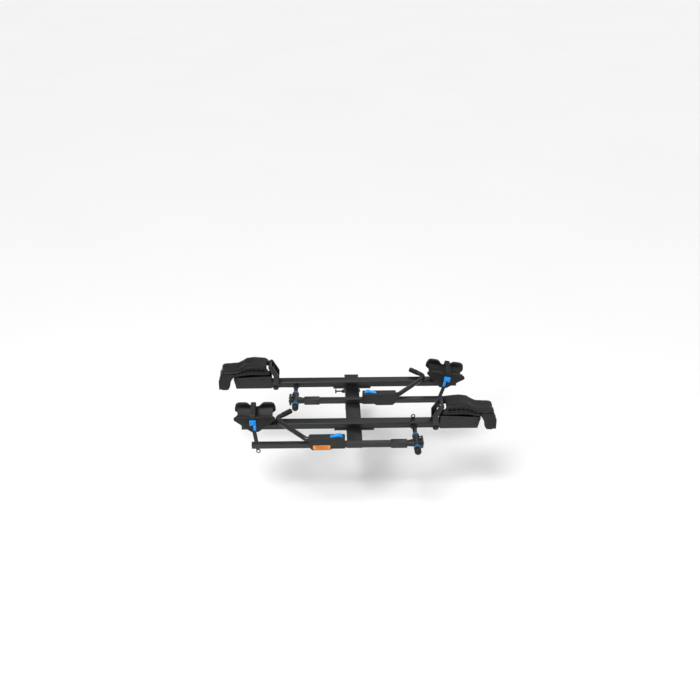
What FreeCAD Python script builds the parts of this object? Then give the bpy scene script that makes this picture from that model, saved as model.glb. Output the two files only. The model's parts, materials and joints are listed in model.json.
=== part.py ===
"""Platform rack for two bicycles, carried by a 2 inch hitch receiver.

Frame: millimetres, +Z up, +Y towards the vehicle, +X to the right as seen from behind the vehicle.
The origin is the centre of the hitch pin hole in the tongue. The inner tray is the one beside the vehicle.
"side" is +1 or -1: the X direction in which a tray's front wheel holder lies.
"""
import FreeCAD, Part
import math
import os
import re
import Sketcher
from FreeCAD import Placement, Rotation, Vector

document = FreeCAD.newDocument("hitch_bike_rack")

# ---------------------------------------------------------------- driving dimensions
SIZES = [
    # hitch tongue and pivot bracket
    ("tongue_size", 50.8, "tongue, outside width and height"),
    ("tongue_wall", 6.35, "tongue wall"),
    ("tongue_inner", 75, "tongue length from the pin hole towards the vehicle"),
    ("tongue_outer", 152, "tongue length from the pin hole away from the vehicle"),
    ("hitch_hole_radius", 8.25, "hole for a 5/8 inch hitch pin"),
    ("plug_flange", 3, "thickness of a tube plug's flange"),
    ("plug_depth", 18, "how far a tube plug goes into its tube"),
    ("plug_clearance", 0.2, "gap between a plug or a liner and its tube"),
    ("pivot_setback", 122, "pivot bolt, distance behind the pin hole"),
    ("pivot_rise", 84, "pivot bolt, height over the tongue's middle"),
    ("pivot_bolt_radius", 8, "pivot bolt shank"),
    ("running_clearance", 0.06, "radial clearance of a turning fit"),
    ("bolt_clearance", 0.1, "radial clearance of a still bolt in its hole"),
    ("cheek_thickness", 8, "pivot bracket cheek"),
    ("lug_thickness", 6, "quadrant under the spine"),
    ("lug_radius", 54, "quadrant outside radius"),
    ("lug_gap", 0.5, "side gap between quadrant and cheek"),
    ("lock_radius", 42, "lock pin, distance from the pivot bolt"),
    ("lock_angle", 150, "lock pin, direction from the pivot bolt"),
    ("lock_pin_radius", 5, "lock pin shank"),
    ("lock_slot_clearance", 0.5, "radial gap round the lock pin in the quadrant"),
    ("lock_collar_radius", 10, "collar that guides the lock pin"),
    ("lock_collar_length", 18, "collar length"),
    ("lock_handle_reach", 90, "end of the lock pin's pull rod, from the middle"),
    ("lock_handle_radius", 4, "pull rod"),
    ("fold_angle", 90, "how far the spine folds up"),
    ("tilt_angle", 25, "how far the spine tilts down"),
    # spine
    ("spine_width", 76, "spine beam width"),
    ("spine_height", 45, "spine beam height"),
    ("spine_wall", 3, "spine beam wall"),
    ("spine_offset", 47, "spine underside above the pivot bolt"),
    ("spine_round", 5, "spine beam corner radius"),
    ("spine_far_end", 102, "spine end next to the vehicle, from the origin"),
    ("spine_overhang", 110, "spine beyond the outer rail"),
    # rails and their saddles
    ("inner_rail_setback", 212, "inner rail, distance behind the pin hole"),
    ("tray_spacing", 375, "distance between the two rails"),
    ("saddle_length", 200, "saddle plate length along the rail"),
    ("saddle_thickness", 8, "saddle plate thickness"),
    ("saddle_bolt_spread", 140, "saddle bolts, distance along the rail"),
    ("saddle_bolt_gauge", 24, "saddle bolts, distance across the rail"),
    ("small_bolt_radius", 4, "saddle bolt shank"),
    ("rail_width", 50, "rail, width of the upper band"),
    ("rail_height", 34, "rail height"),
    ("rail_band", 17, "height of the recessed lower band"),
    ("rail_recess", 3, "depth of the recess"),
    ("rail_chamfer", 4, "rail top edge chamfer"),
    ("rail_wall", 2.5, "rail wall"),
    ("rail_inset", 18, "rail end in the front wheel trough, short of the cradle hinge"),
    ("rail_rear_end", 560, "rail end in the rear wheel cradle, from the middle"),
    # front wheel trough, cradle and hoop
    ("trough_inboard", 430, "trough, inboard end"),
    ("trough_lead", 14, "trough's outboard end beyond the cradle hinge, at the top"),
    ("trough_slant", 13, "lean of the trough's outboard end"),
    ("trough_wall", 3, "trough sheet"),
    ("trough_gap", 2, "gap between rail and trough wall"),
    ("trough_inboard_height", 74, "trough wall above the rail's underside, inboard"),
    ("trough_outboard_height", 62, "trough wall above the rail's underside, outboard"),
    ("screw_head_radius", 4.5, "trough screw head"),
    ("screw_head_height", 3, "trough screw head"),
    ("screw_radius", 2.5, "trough screw shank"),
    ("cradle_half_width", 50, "front wheel cradle, half its width"),
    ("cradle_skin", 5, "cradle top skin"),
    ("cradle_lip", 4, "cradle side lip"),
    ("cradle_hinge_reach", 618, "cradle hinge, from the middle"),
    ("cradle_hinge_rise", 48, "cradle hinge above the rail's underside"),
    ("cradle_ear_gap", 3, "gap between a hinge ear and the trough wall"),
    ("cradle_ear", 6, "hinge ear thickness"),
    ("hinge_pin_radius", 4, "cradle hinge pin"),
    ("hoop_reach", 408, "hoop pivot, from the middle"),
    ("hoop_rise", 10, "hoop pivot above the rail's underside"),
    ("hoop_boss", 16, "hoop pivot boss radius"),
    ("hoop_leg", 10, "hoop leg thickness across the rail"),
    ("hoop_gap", 3, "gap between rail and hoop leg"),
    ("hoop_pin_radius", 5, "hoop pivot pin"),
    ("pin_head", 3, "height of a pin's head"),
    # arm
    ("arm_pivot_reach", 300, "arm pivot, from the middle"),
    ("rod_drop", 22, "pivot rod axis below the rail's top"),
    ("rod_radius", 11, "pivot rod"),
    ("rod_flange_radius", 16, "pivot rod flange on the rail"),
    ("rod_flange", 5, "pivot rod flange thickness"),
    ("knuckle_offset", 154, "middle of the knuckle, in front of the rail's middle"),
    ("knuckle_length", 90, "knuckle barrel length"),
    ("knuckle_radius", 17, "knuckle barrel"),
    ("bush_flange", 8, "bush flange thickness"),
    ("bush_radius", 18, "bush flange radius"),
    ("bush_wall", 2, "bush sleeve wall"),
    ("bush_depth", 20, "bush sleeve length"),
    ("cap_gap", 0.3, "gap between cap and bush"),
    ("cap_length", 36, "rod cap length"),
    ("cap_radius", 15, "rod cap radius"),
    ("end_plate_reach", 21, "end plate's near face, from the pivot"),
    ("end_plate_thickness", 12, "end plate thickness"),
    ("end_plate_width", 50, "end plate along the rod"),
    ("end_plate_height", 38, "end plate height"),
    ("arm_offset", 158, "arm tube axis in front of the rail's middle"),
    ("arm_gap", 2.3, "gap between the spine and an arm tube folded over it"),
    ("arm_size", 25.4, "arm tube, outside"),
    ("arm_wall", 2, "arm tube wall"),
    ("arm_start", 50, "arm tube start, from the pivot"),
    ("arm_reach", 800, "arm tube end, from the pivot"),
    ("sleeve_start", 46, "sleeve start, from the pivot"),
    ("sleeve_end", 126, "sleeve end, from the pivot"),
    ("sleeve_wall", 3, "sleeve wall"),
    ("lug_bolt_reach", 30, "knuckle bolt, from the pivot"),
    # handle and hook
    ("handle_start", 350, "handle start, from the pivot"),
    ("handle_length", 176, "handle length"),
    ("handle_width", 40, "handle width across the tube"),
    ("handle_top", 49, "handle top above the tube axis"),
    ("handle_floor", 1.3, "handle wall under the tube"),
    ("handle_bulge", 8, "extra depth of the handle's belly"),
    ("slide_clearance", 0.5, "gap between the handle and the arm tube"),
    ("hook_height", 33, "hook tube axis above the arm tube axis"),
    ("hook_radius", 12, "hook tube"),
    ("hook_wall", 2.5, "hook tube wall"),
    ("hook_insert", 60, "hook tube inside the handle"),
    ("hook_exit", 13, "first bend's corner beyond the handle"),
    ("hook_tip_length", 99, "hook beyond its second bend"),
    ("hook_turn", 96, "second bend"),
    ("hook_first_turn", 45, "first bend"),
    ("hook_first_bend", 30, "radius of the first bend"),
    ("hook_bend", 30, "radius of the second bend"),
    ("hook_lift", 3, "rise of the hook's plane"),
    ("hook_pad_length", 52, "rubber pad on the hook's tip"),
    ("hook_pad_wall", 1.6, "pad wall"),
    ("trigger_start", 11, "trigger's free end, from the handle's end"),
    ("trigger_length", 62, "trigger length"),
    ("trigger_width", 18, "trigger width"),
    ("trigger_gap", 0.6, "gap round the trigger"),
    ("trigger_pin_radius", 2.5, "trigger hinge pin"),
    # rear wheel cradle
    ("rear_reach", 495, "rear wheel cradle's middle, from the spine's middle"),
    ("slider_length", 56, "slider along the rail"),
    ("slider_wall", 4.5, "slider wall"),
    ("slider_clearance", 0.4, "gap between slider and rail"),
    ("rock_rise", 48, "rocking pin above the rail's underside"),
    ("rock_boss", 9, "boss on the slider"),
    ("rock_pin_radius", 6, "trunnion radius"),
    ("inner_rock_tilt", 10, "resting tilt of the inner tray's rear cradle"),
    ("hull_half_length", 104, "rear cradle, half its length"),
    ("hull_half_flat", 18, "rear cradle, half the flat underside"),
    ("hull_wall", 15, "rear cradle wall"),
    ("hull_low", 3, "rear cradle underside above the rail's underside"),
    ("hull_corner", 86, "rear cradle end height above the rail's underside"),
    ("hull_floor", 62, "wheel floor's underside above the rail's underside"),
    ("hull_floor_thickness", 5, "wheel floor"),
    ("hull_floor_reach", 76, "wheel floor, half its length"),
    ("channel_gap", 8, "wheel channel beyond the rail on each side"),
    ("front_wall_height", 97, "front wall above the rail's underside"),
    ("lobe_height", 118, "back wall lobes above the rail's underside"),
    ("lobe_offset", 62, "lobe tops, from the cradle's middle"),
    ("strap_width", 25, "ladder strap width"),
    ("strap_thickness", 3, "ladder strap thickness"),
    ("strap_shift", 8, "strap's middle, outboard of the cradle's middle"),
    ("strap_tail", 155, "free tail of the strap"),
    ("tail_width", 20, "width of the free tail"),
    ("strap_seat", 0.3, "gap between strap and cradle or buckle"),
    ("strap_lean", 7, "lean of the tail"),
    ("strap_ring_radius", 12, "ring at the strap's end"),
    ("strap_ring_hole", 6.5, "hole of that ring"),
    ("buckle_width", 33, "buckle width"),
    ("buckle_height", 28, "buckle height"),
    ("buckle_depth", 14, "buckle depth"),
    ("buckle_rise", 64, "buckle's middle above the rail's underside"),
    ("lever_width", 14, "buckle lever width"),
    ("lever_length", 28, "buckle lever length"),
    ("lever_barrel", 3, "radius of the lever's hinge barrel"),
    # lock loop
    ("loop_ring_radius", 8.5, "cable loop, ring radius"),
    ("loop_wire_radius", 2.75, "cable loop, wire radius"),
    ("loop_base", 4, "cable loop, base height"),
]

sheet = document.addObject("Spreadsheet::Sheet", "Sheet")
for row, (alias, size, meaning) in enumerate(SIZES, start=1):
    sheet.set("A%d" % row, meaning)
    sheet.set("B%d" % row, str(size))
    sheet.setAlias("B%d" % row, alias)
document.recompute()


# ---------------------------------------------------------------- helpers
def scoped(text):
    """An expression in the sheet's own words, as other objects write it."""
    return re.sub(r"\b([a-z][a-z_]*)\b(?!\()", r"Sheet.\1", str(text))


def value(text):
    """The present number of an expression."""
    return float(sheet.evalExpression(scoped(text)))


def bind(thing, size_name, text):
    thing.setExpression(size_name, scoped(text))


def across(side, near, far):
    """The X range of a piece that spans near to far on one side of the middle."""
    if side > 0:
        return ("(%s)" % near, "(%s)" % far)
    return ("-(%s)" % far, "-(%s)" % near)


def about(middle, half):
    """The range from half before to half after a middle."""
    return ("(%s) - (%s)" % (middle, half), "(%s) + (%s)" % (middle, half))


def at(side, reach):
    return "%d * (%s)" % (side, reach)


def block(name, x_range, y_range, z_range):
    solid = document.addObject("Part::Box", name)
    ranges = (("Length", "x", x_range), ("Width", "y", y_range), ("Height", "z", z_range))
    for size_name, letter, (low, high) in ranges:
        bind(solid, size_name, "(%s) - (%s)" % (high, low))
        bind(solid, "Placement.Base." + letter, low)
    return solid


TURNS = {
    "X": Rotation(Vector(0, 1, 0), 90),
    "Y": Rotation(Vector(1, 0, 0), -90),
    "Z": Rotation(),
}


def place(solid, axis, start):
    """Point a primitive's own Z along an axis and put its base centre at start."""
    solid.Placement = Placement(Vector(), TURNS[axis])
    for letter, text in zip("xyz", start):
        bind(solid, "Placement.Base." + letter, text)


def rod(name, axis, start, radius, length):
    solid = document.addObject("Part::Cylinder", name)
    bind(solid, "Radius", radius)
    bind(solid, "Height", length)
    place(solid, axis, start)
    return solid


def hexagon(name, axis, start, radius, height):
    solid = document.addObject("Part::Prism", name)
    solid.Polygon = 6
    bind(solid, "Circumradius", radius)
    bind(solid, "Height", height)
    place(solid, axis, start)
    return solid


def fuse(name, solids):
    joined = document.addObject("Part::MultiFuse", name)
    joined.Shapes = solids
    joined.Refine = True
    return joined


def group(name, solids):
    bundle = document.addObject("Part::Compound", name)
    bundle.Links = solids
    return bundle


def cut(name, base, tools):
    tool = tools[0] if len(tools) == 1 else group(name + "_cuts", tools)
    rest = document.addObject("Part::Cut", name)
    rest.Base = base
    rest.Tool = tool
    return rest


def mirrored(name, solid):
    """The same piece on the other side of the middle plane."""
    twin = document.addObject("Part::Mirroring", name)
    twin.Source = solid
    twin.Normal = Vector(1, 0, 0)
    twin.Base = Vector(0, 0, 0)
    return twin


def origin_plane(body, role):
    for feature in body.Origin.OriginFeatures:
        if feature.Role == role:
            return feature
    raise ValueError(role)


def draw(sketch, corners, arcs=None):
    """A closed outline through the corners. arcs gives, for the side that starts at a corner's number,
    its radius and which way it bulges: 1 to the right of the way along, -1 to the left."""
    arcs = arcs or {}
    points = [Vector(value(across_text), value(up_text), 0) for across_text, up_text in corners]
    ends = []
    for number, start in enumerate(points):
        finish = points[(number + 1) % len(points)]
        if number in arcs:
            radius, bulge = value(arcs[number][0]), arcs[number][1]
            chord = finish - start
            half = chord.Length / 2
            rise = radius - math.sqrt(max(radius * radius - half * half, 0.0))
            outward = Vector(chord.y, -chord.x, 0).normalize() * bulge
            middle = (start + finish) * 0.5 + outward * rise
            edge = sketch.addGeometry(Part.Arc(start, middle, finish))
        else:
            edge = sketch.addGeometry(Part.LineSegment(start, finish))
        forward = (sketch.getPoint(edge, 1) - start).Length < (sketch.getPoint(edge, 2) - start).Length
        ends.append((edge, 1, 2) if forward else (edge, 2, 1))
    for number, (edge, start_end, finish_end) in enumerate(ends):
        following, following_start, unused_end = ends[(number + 1) % len(ends)]
        sketch.addConstraint(Sketcher.Constraint("Coincident", edge, finish_end, following, following_start))
        for kind, text, now in (("DistanceX", corners[number][0], points[number].x),
                                ("DistanceY", corners[number][1], points[number].y)):
            index = sketch.addConstraint(Sketcher.Constraint(kind, -1, 1, edge, start_end, now))
            bind(sketch, "Constraints[%d]" % index, text)
        if number in arcs:
            now = value(arcs[number][0])
            index = sketch.addConstraint(Sketcher.Constraint("Radius", edge, now))
            bind(sketch, "Constraints[%d]" % index, arcs[number][0])


def draw_circle(sketch, centre, radius):
    middle = Vector(value(centre[0]), value(centre[1]), 0)
    edge = sketch.addGeometry(Part.Circle(middle, Vector(0, 0, 1), value(radius)))
    for kind, text, now in (("DistanceX", centre[0], middle.x), ("DistanceY", centre[1], middle.y)):
        index = sketch.addConstraint(Sketcher.Constraint(kind, -1, 1, edge, 3, now))
        bind(sketch, "Constraints[%d]" % index, text)
    index = sketch.addConstraint(Sketcher.Constraint("Radius", edge, value(radius)))
    bind(sketch, "Constraints[%d]" % index, radius)


def sketch_on(body, role, offset, name):
    sketch = body.newObject("Sketcher::SketchObject", name)
    sketch.AttachmentSupport = [(origin_plane(body, role), "")]
    sketch.MapMode = "FlatFace"
    bind(sketch, "AttachmentOffset.Base.z", offset)
    return sketch


def plate(name, role, reach, corners, arcs=None, windows=(), circles=()):
    """A padded sketch on an origin plane. reach is the range along the plane's axis: X for YZ_Plane,
    Y for XZ_Plane, Z for XY_Plane. windows are inner outlines, circles are round holes."""
    body = document.addObject("PartDesign::Body", name)
    low, high = reach
    offset = "-(%s)" % high if role == "XZ_Plane" else low
    sketch = sketch_on(body, role, offset, name + "_sketch")
    draw(sketch, corners, arcs)
    for window in windows:
        draw(sketch, window)
    for centre, radius in circles:
        draw_circle(sketch, centre, radius)
    pad = body.newObject("PartDesign::Pad", name + "_pad")
    pad.Profile = sketch
    bind(pad, "Length", "(%s) - (%s)" % (high, low))
    sketch.Visibility = False
    return body


def sided(side, corners):
    """An outline's X values on one side of the middle."""
    return [(at(side, reach), height) for reach, height in corners]


finished = {}


def finish(node, solid):
    """Give a finished sub-part the node's name."""
    solid.Label = node
    finished[node] = solid
    return solid


# ---------------------------------------------------------------- heights and places used by several pieces
SPINE_BOTTOM = "pivot_rise + spine_offset"
SPINE_TOP = "pivot_rise + spine_offset + spine_height"
RAIL_BOTTOM = "pivot_rise + spine_offset + spine_height + saddle_thickness"
RAIL_TOP = RAIL_BOTTOM + " + rail_height"
ROD_HEIGHT = RAIL_TOP + " - rod_drop"
ARM_HEIGHT = SPINE_TOP + " + arm_gap + arm_size / 2"
PIVOT = ("-pivot_setback", "pivot_rise")
CHEEK_NEAR = "tongue_size / 2"
CHEEK_FAR = "tongue_size / 2 + cheek_thickness"
RAIL_FRONT_END = "(cradle_hinge_reach - rail_inset)"
TROUGH_OUTBOARD = "(cradle_hinge_reach + trough_lead)"
CHANNEL_HALF = "(rail_width / 2 + channel_gap)"
HULL_HALF = "(rail_width / 2 + channel_gap + hull_wall)"
INNER_RAIL = "-inner_rail_setback"
OUTER_RAIL = "-inner_rail_setback - tray_spacing"
TRAYS = (("inner", -1, INNER_RAIL), ("outer", 1, OUTER_RAIL))


def above_rail(text):
    """A height measured from the rail's underside."""
    return "%s + %s" % (RAIL_BOTTOM, text)


# ---------------------------------------------------------------- hitch tongue and pivot bracket
def square_tube(name, x_range, y_range, z_range, wall, axis):
    """A box tube, open at both ends of its axis."""
    outside = block(name + "_outside", x_range, y_range, z_range)
    ranges = [x_range, y_range, z_range]
    for number, letter in enumerate("XYZ"):
        low, high = ranges[number]
        grow = "10" if letter == axis else "-(%s)" % wall
        ranges[number] = ("(%s) - (%s)" % (low, grow), "(%s) + (%s)" % (high, grow))
    inside = block(name + "_inside", *ranges)
    return cut(name, outside, [inside])


def tube_plug(name, x_range, y_range, z_range, wall, axis, outward):
    """A plug for a box tube: a flange over the end and a shank inside. The tube's end face is the low
    end of the axis range for outward -1 and the high end for outward 1."""
    number = "XYZ".index(axis)
    ranges = [x_range, y_range, z_range]
    face = ranges[number][0] if outward < 0 else ranges[number][1]
    flange = list(ranges)
    shank = []
    for low, high in ranges:
        inset = "%s + plug_clearance" % wall
        shank.append(("(%s) + (%s)" % (low, inset), "(%s) - (%s)" % (high, inset)))
    if outward < 0:
        flange[number] = ("(%s) - plug_flange" % face, face)
        shank[number] = (face, "(%s) + plug_depth" % face)
    else:
        flange[number] = (face, "(%s) + plug_flange" % face)
        shank[number] = ("(%s) - plug_depth" % face, face)
    return fuse(name, [block(name + "_flange", *flange), block(name + "_shank", *shank)])


def make_hitch():
    half = "tongue_size / 2"
    square = ("-(%s)" % half, half)
    along = ("-tongue_outer", "tongue_inner")
    tube = square_tube("tongue_tube", square, along, square, "tongue_wall", "Y")
    hole = rod("tongue_hole", "X", ("-(%s) - 5" % half, "0", "0"), "hitch_hole_radius", "tongue_size + 10")
    finish("hitch_tongue", cut("tongue", tube, [hole]))
    finish("tongue_plug", tube_plug("tongue_end", square, along, square, "tongue_wall", "Y", 1))


def around_pivot(back, up):
    """A point in the YZ plane, measured from the pivot bolt."""
    return ("-pivot_setback + (%s)" % back, "pivot_rise + (%s)" % up)


LOCK = around_pivot("lock_radius * cos(lock_angle)", "lock_radius * sin(lock_angle)")


def make_pivot():
    tongue_low = "-(pivot_rise + tongue_size / 2)"
    outline = [
        around_pivot("28", tongue_low), around_pivot("28", "-55"), around_pivot("27", "6"),
        around_pivot("16", "24"), around_pivot("-22", "38"), around_pivot("-46", "27"),
        around_pivot("-51", "10"), around_pivot("-30", "-55"), around_pivot("-30", tongue_low),
    ]
    holes = [(PIVOT, "pivot_bolt_radius + bolt_clearance"), (LOCK, "lock_pin_radius + bolt_clearance")]
    cheek = plate("cheek", "YZ_Plane", (CHEEK_NEAR, CHEEK_FAR), outline, circles=holes)
    collar_start = ("-(%s) - lock_collar_length" % CHEEK_FAR,) + LOCK
    collar = rod("collar_outside", "X", collar_start, "lock_collar_radius", "lock_collar_length")
    collar_hole = rod("collar_hole", "X", ("-(%s) - 60" % CHEEK_FAR,) + LOCK,
                      "lock_pin_radius + bolt_clearance", "120")
    left_cheek = fuse("left_cheek_and_collar", [mirrored("left_cheek", cheek), collar])
    finish("pivot_cheeks", group("cheeks", [cheek, cut("left_cheek_bored", left_cheek, [collar_hole])]))

    head = hexagon("pivot_head", "X", ("-(%s) - 9" % CHEEK_FAR,) + PIVOT, "pivot_bolt_radius * 1.8", "9")
    shank = rod("pivot_shank", "X", ("-(%s)" % CHEEK_FAR,) + PIVOT, "pivot_bolt_radius",
                "2 * (%s) + 16" % CHEEK_FAR)
    finish("pivot_bolt", fuse("pivot_bolt_solid", [head, shank]))
    nut = hexagon("nut_outside", "X", (CHEEK_FAR,) + PIVOT, "pivot_bolt_radius * 1.8", "12")
    nut_hole = rod("nut_hole", "X", (CHEEK_FAR + " - 1",) + PIVOT, "pivot_bolt_radius + bolt_clearance", "14")
    finish("pivot_nut", cut("nut", nut, [nut_hole]))

    lock_start = "-(%s) - lock_collar_length - 4" % CHEEK_FAR
    shank_length = "2 * (%s) + lock_collar_length + 6" % CHEEK_FAR
    pin = rod("lock_shank", "X", (lock_start,) + LOCK, "lock_pin_radius", shank_length)
    pull = rod("lock_pull", "X", ("-lock_handle_reach",) + LOCK, "lock_handle_radius",
               "lock_handle_reach - (%s) - lock_collar_length - 2" % CHEEK_FAR)
    grip = rod("lock_grip", "Z", ("-lock_handle_reach + lock_handle_radius", LOCK[0], LOCK[1] + " - 11"),
               "lock_handle_radius", "22")
    finish("lock_pin", fuse("lock_pin_solid", [pin, pull, grip]))


def make_lugs():
    """Two quadrants under the spine, between the cheeks, with a slot for the lock pin."""
    lug_start = "tongue_size / 2 - lug_gap - lug_thickness"
    disc = rod("lug_disc", "X", (lug_start,) + PIVOT, "lug_radius", "lug_thickness")
    above = block("lug_trim", (lug_start + " - 1", lug_start + " + lug_thickness + 1"),
                  about("-pivot_setback", "lug_radius + 1"), (SPINE_BOTTOM, SPINE_BOTTOM + " + lug_radius"))
    bore = rod("lug_bore", "X", (lug_start + " - 1",) + PIVOT,
               "pivot_bolt_radius + running_clearance", "lug_thickness + 2")
    slot_radius = "lock_pin_radius + lock_slot_clearance"
    first = "lock_angle - tilt_angle"
    sweep = "fold_angle + tilt_angle"
    sector = []
    for name, radius in (("slot_outside", "lock_radius + " + slot_radius),
                         ("slot_inside", "lock_radius - (%s)" % slot_radius)):
        part_disc = document.addObject("Part::Cylinder", name)
        bind(part_disc, "Radius", radius)
        bind(part_disc, "Height", "lug_thickness + 2")
        bind(part_disc, "Angle", sweep)
        # the sector opens in the YZ plane, from the first angle onwards
        part_disc.Placement = Placement(Vector(), Rotation(Vector(1, 0, 0), value(first))
                                        .multiply(Rotation(Vector(1, 1, 1), 120)))
        bind(part_disc, "Placement.Base.x", lug_start + " - 1")
        bind(part_disc, "Placement.Base.y", PIVOT[0])
        bind(part_disc, "Placement.Base.z", PIVOT[1])
        sector.append(part_disc)
    arc = cut("slot_arc", sector[0], [sector[1]])
    ends = []
    for number, angle in enumerate((first, "lock_angle + fold_angle")):
        centre = around_pivot("lock_radius * cos(%s)" % angle, "lock_radius * sin(%s)" % angle)
        ends.append(rod("slot_end_%d" % number, "X", (lug_start + " - 1",) + centre, slot_radius,
                        "lug_thickness + 2"))
    slot = fuse("slot", [arc] + ends)
    lug = cut("lug", disc, [above, bore, slot])
    finish("pivot_quadrants", group("lugs", [lug, mirrored("left_lug", lug)]))


# ---------------------------------------------------------------- spine, saddles and rails
SPINE_X = ("-spine_width / 2", "spine_width / 2")
SPINE_Y = (OUTER_RAIL + " - spine_overhang", "-spine_far_end")
SPINE_Z = (SPINE_BOTTOM, SPINE_TOP)


def make_spine():
    outside = block("spine_outside", SPINE_X, SPINE_Y, SPINE_Z)
    document.recompute()
    rounded = document.addObject("Part::Fillet", "spine_rounded")
    rounded.Base = outside
    radius = value("spine_round")
    long_edges = []
    for number, edge in enumerate(outside.Shape.Edges, start=1):
        direction = edge.tangentAt(edge.FirstParameter)
        if abs(direction.y) > 0.9:
            long_edges.append((number, radius, radius))
    rounded.Edges = long_edges
    inside = block("spine_inside", (SPINE_X[0] + " + spine_wall", SPINE_X[1] + " - spine_wall"),
                   (SPINE_Y[0] + " - 5", SPINE_Y[1] + " + 5"),
                   (SPINE_Z[0] + " + spine_wall", SPINE_Z[1] + " - spine_wall"))
    finish("spine_beam", cut("spine", rounded, [inside]))
    caps = [tube_plug("spine_near_cap", SPINE_X, SPINE_Y, SPINE_Z, "spine_wall", "Y", -1),
            tube_plug("spine_far_cap", SPINE_X, SPINE_Y, SPINE_Z, "spine_wall", "Y", 1)]
    finish("spine_caps", group("spine_cap_pair", caps))


def bolt_places(rail):
    """The four saddle bolts of one rail."""
    for along in ("-saddle_bolt_spread / 2", "saddle_bolt_spread / 2"):
        for over in ("- saddle_bolt_gauge / 2", "+ saddle_bolt_gauge / 2"):
            yield along, "%s %s" % (rail, over)


def make_saddles():
    saddles = []
    bolts = []
    for tray, side, rail in TRAYS:
        pad = block(tray + "_saddle_block", about("0", "saddle_length / 2"),
                    about(rail, "rail_width / 2 + 2"), (SPINE_TOP, RAIL_BOTTOM))
        holes = []
        for number, (along, over) in enumerate(bolt_places(rail)):
            name = "%s_saddle_bolt_%d" % (tray, number)
            head = hexagon(name + "_head", "Z", (along, over, SPINE_TOP + " - 5"),
                           "small_bolt_radius * 1.8", "5")
            shank = rod(name + "_shank", "Z", (along, over, SPINE_TOP), "small_bolt_radius",
                        "saddle_thickness + rail_wall + 6")
            bolts.append(fuse(name, [head, shank]))
            holes.append(rod(name + "_hole", "Z", (along, over, SPINE_TOP + " - 1"),
                             "small_bolt_radius + bolt_clearance", "saddle_thickness + 2"))
        saddles.append(cut(tray + "_saddle", pad, holes))
    finish("rail_saddles", group("saddle_pair", saddles))
    finish("saddle_bolts", group("saddle_bolt_set", bolts))


def rail_section(rail):
    """Outer and inner outline of a rail: a wide upper band over a recessed lower band."""
    half = "rail_width / 2"
    low = "rail_width / 2 - rail_recess"
    step = above_rail("rail_band")
    outside = []
    for sign, order in ((1, 1), (-1, -1)):
        corners = [(low, RAIL_BOTTOM), (low, step), (half, step + " + 2"),
                   (half, RAIL_TOP + " - rail_chamfer"), (half + " - rail_chamfer", RAIL_TOP)]
        outside += [("%s + %d * (%s)" % (rail, sign, over), up) for over, up in corners[::order]]
    inner = low + " - rail_wall"
    inside = [("%s + %d * (%s)" % (rail, sign, inner), up)
              for sign, up in ((1, above_rail("rail_wall")), (1, RAIL_TOP + " - rail_wall - rail_chamfer"),
                               (-1, RAIL_TOP + " - rail_wall - rail_chamfer"), (-1, above_rail("rail_wall")))]
    return outside, inside


def make_rails():
    caps = []
    for tray, side, rail in TRAYS:
        outside, inside = rail_section(rail)
        length = ("-rail_rear_end", RAIL_FRONT_END) if side > 0 else ("-" + RAIL_FRONT_END, "rail_rear_end")
        body = plate(tray + "_rail_body", "YZ_Plane", length, outside, windows=[inside])
        holes = []
        for number, (along, over) in enumerate(bolt_places(rail)):
            holes.append(rod("%s_rail_hole_%d" % (tray, number), "Z", (along, over, RAIL_BOTTOM + " - 1"),
                             "small_bolt_radius + bolt_clearance", "rail_wall + 2"))
        hoop_hole = rod(tray + "_rail_hoop_hole", "Y",
                        (at(side, "hoop_reach"), "%s - rail_width" % rail, above_rail("hoop_rise")),
                        "hoop_pin_radius + bolt_clearance", "2 * rail_width")
        finish(tray + "_rail", cut(tray + "_rail_drilled", body, holes + [hoop_hole]))
        cap_x = across(-side, "rail_rear_end", "rail_rear_end + plug_flange")
        flange = plate(tray + "_rail_cap_flange", "YZ_Plane", cap_x, outside)
        inner = "rail_width / 2 - rail_recess - rail_wall - plug_clearance"
        shank = block(tray + "_rail_cap_shank", across(-side, "rail_rear_end - plug_depth", "rail_rear_end"),
                      about(rail, inner), (above_rail("rail_wall + plug_clearance"),
                                           RAIL_TOP + " - rail_wall - rail_chamfer - plug_clearance"))
        caps.append(fuse(tray + "_rail_cap", [flange, shank]))
    finish("rail_caps", group("rail_cap_pair", caps))


# ---------------------------------------------------------------- front wheel holder
HINGE_REACH = "cradle_hinge_reach"
HINGE_UP = above_rail("cradle_hinge_rise")
TROUGH_INSIDE = "rail_width / 2 + trough_gap"
TROUGH_OUTSIDE = "rail_width / 2 + trough_gap + trough_wall"
SCREWS = (("trough_inboard + 47", "55"), ("trough_inboard + 105", "55"), (TROUGH_OUTBOARD + " - 25", "26"))


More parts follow.
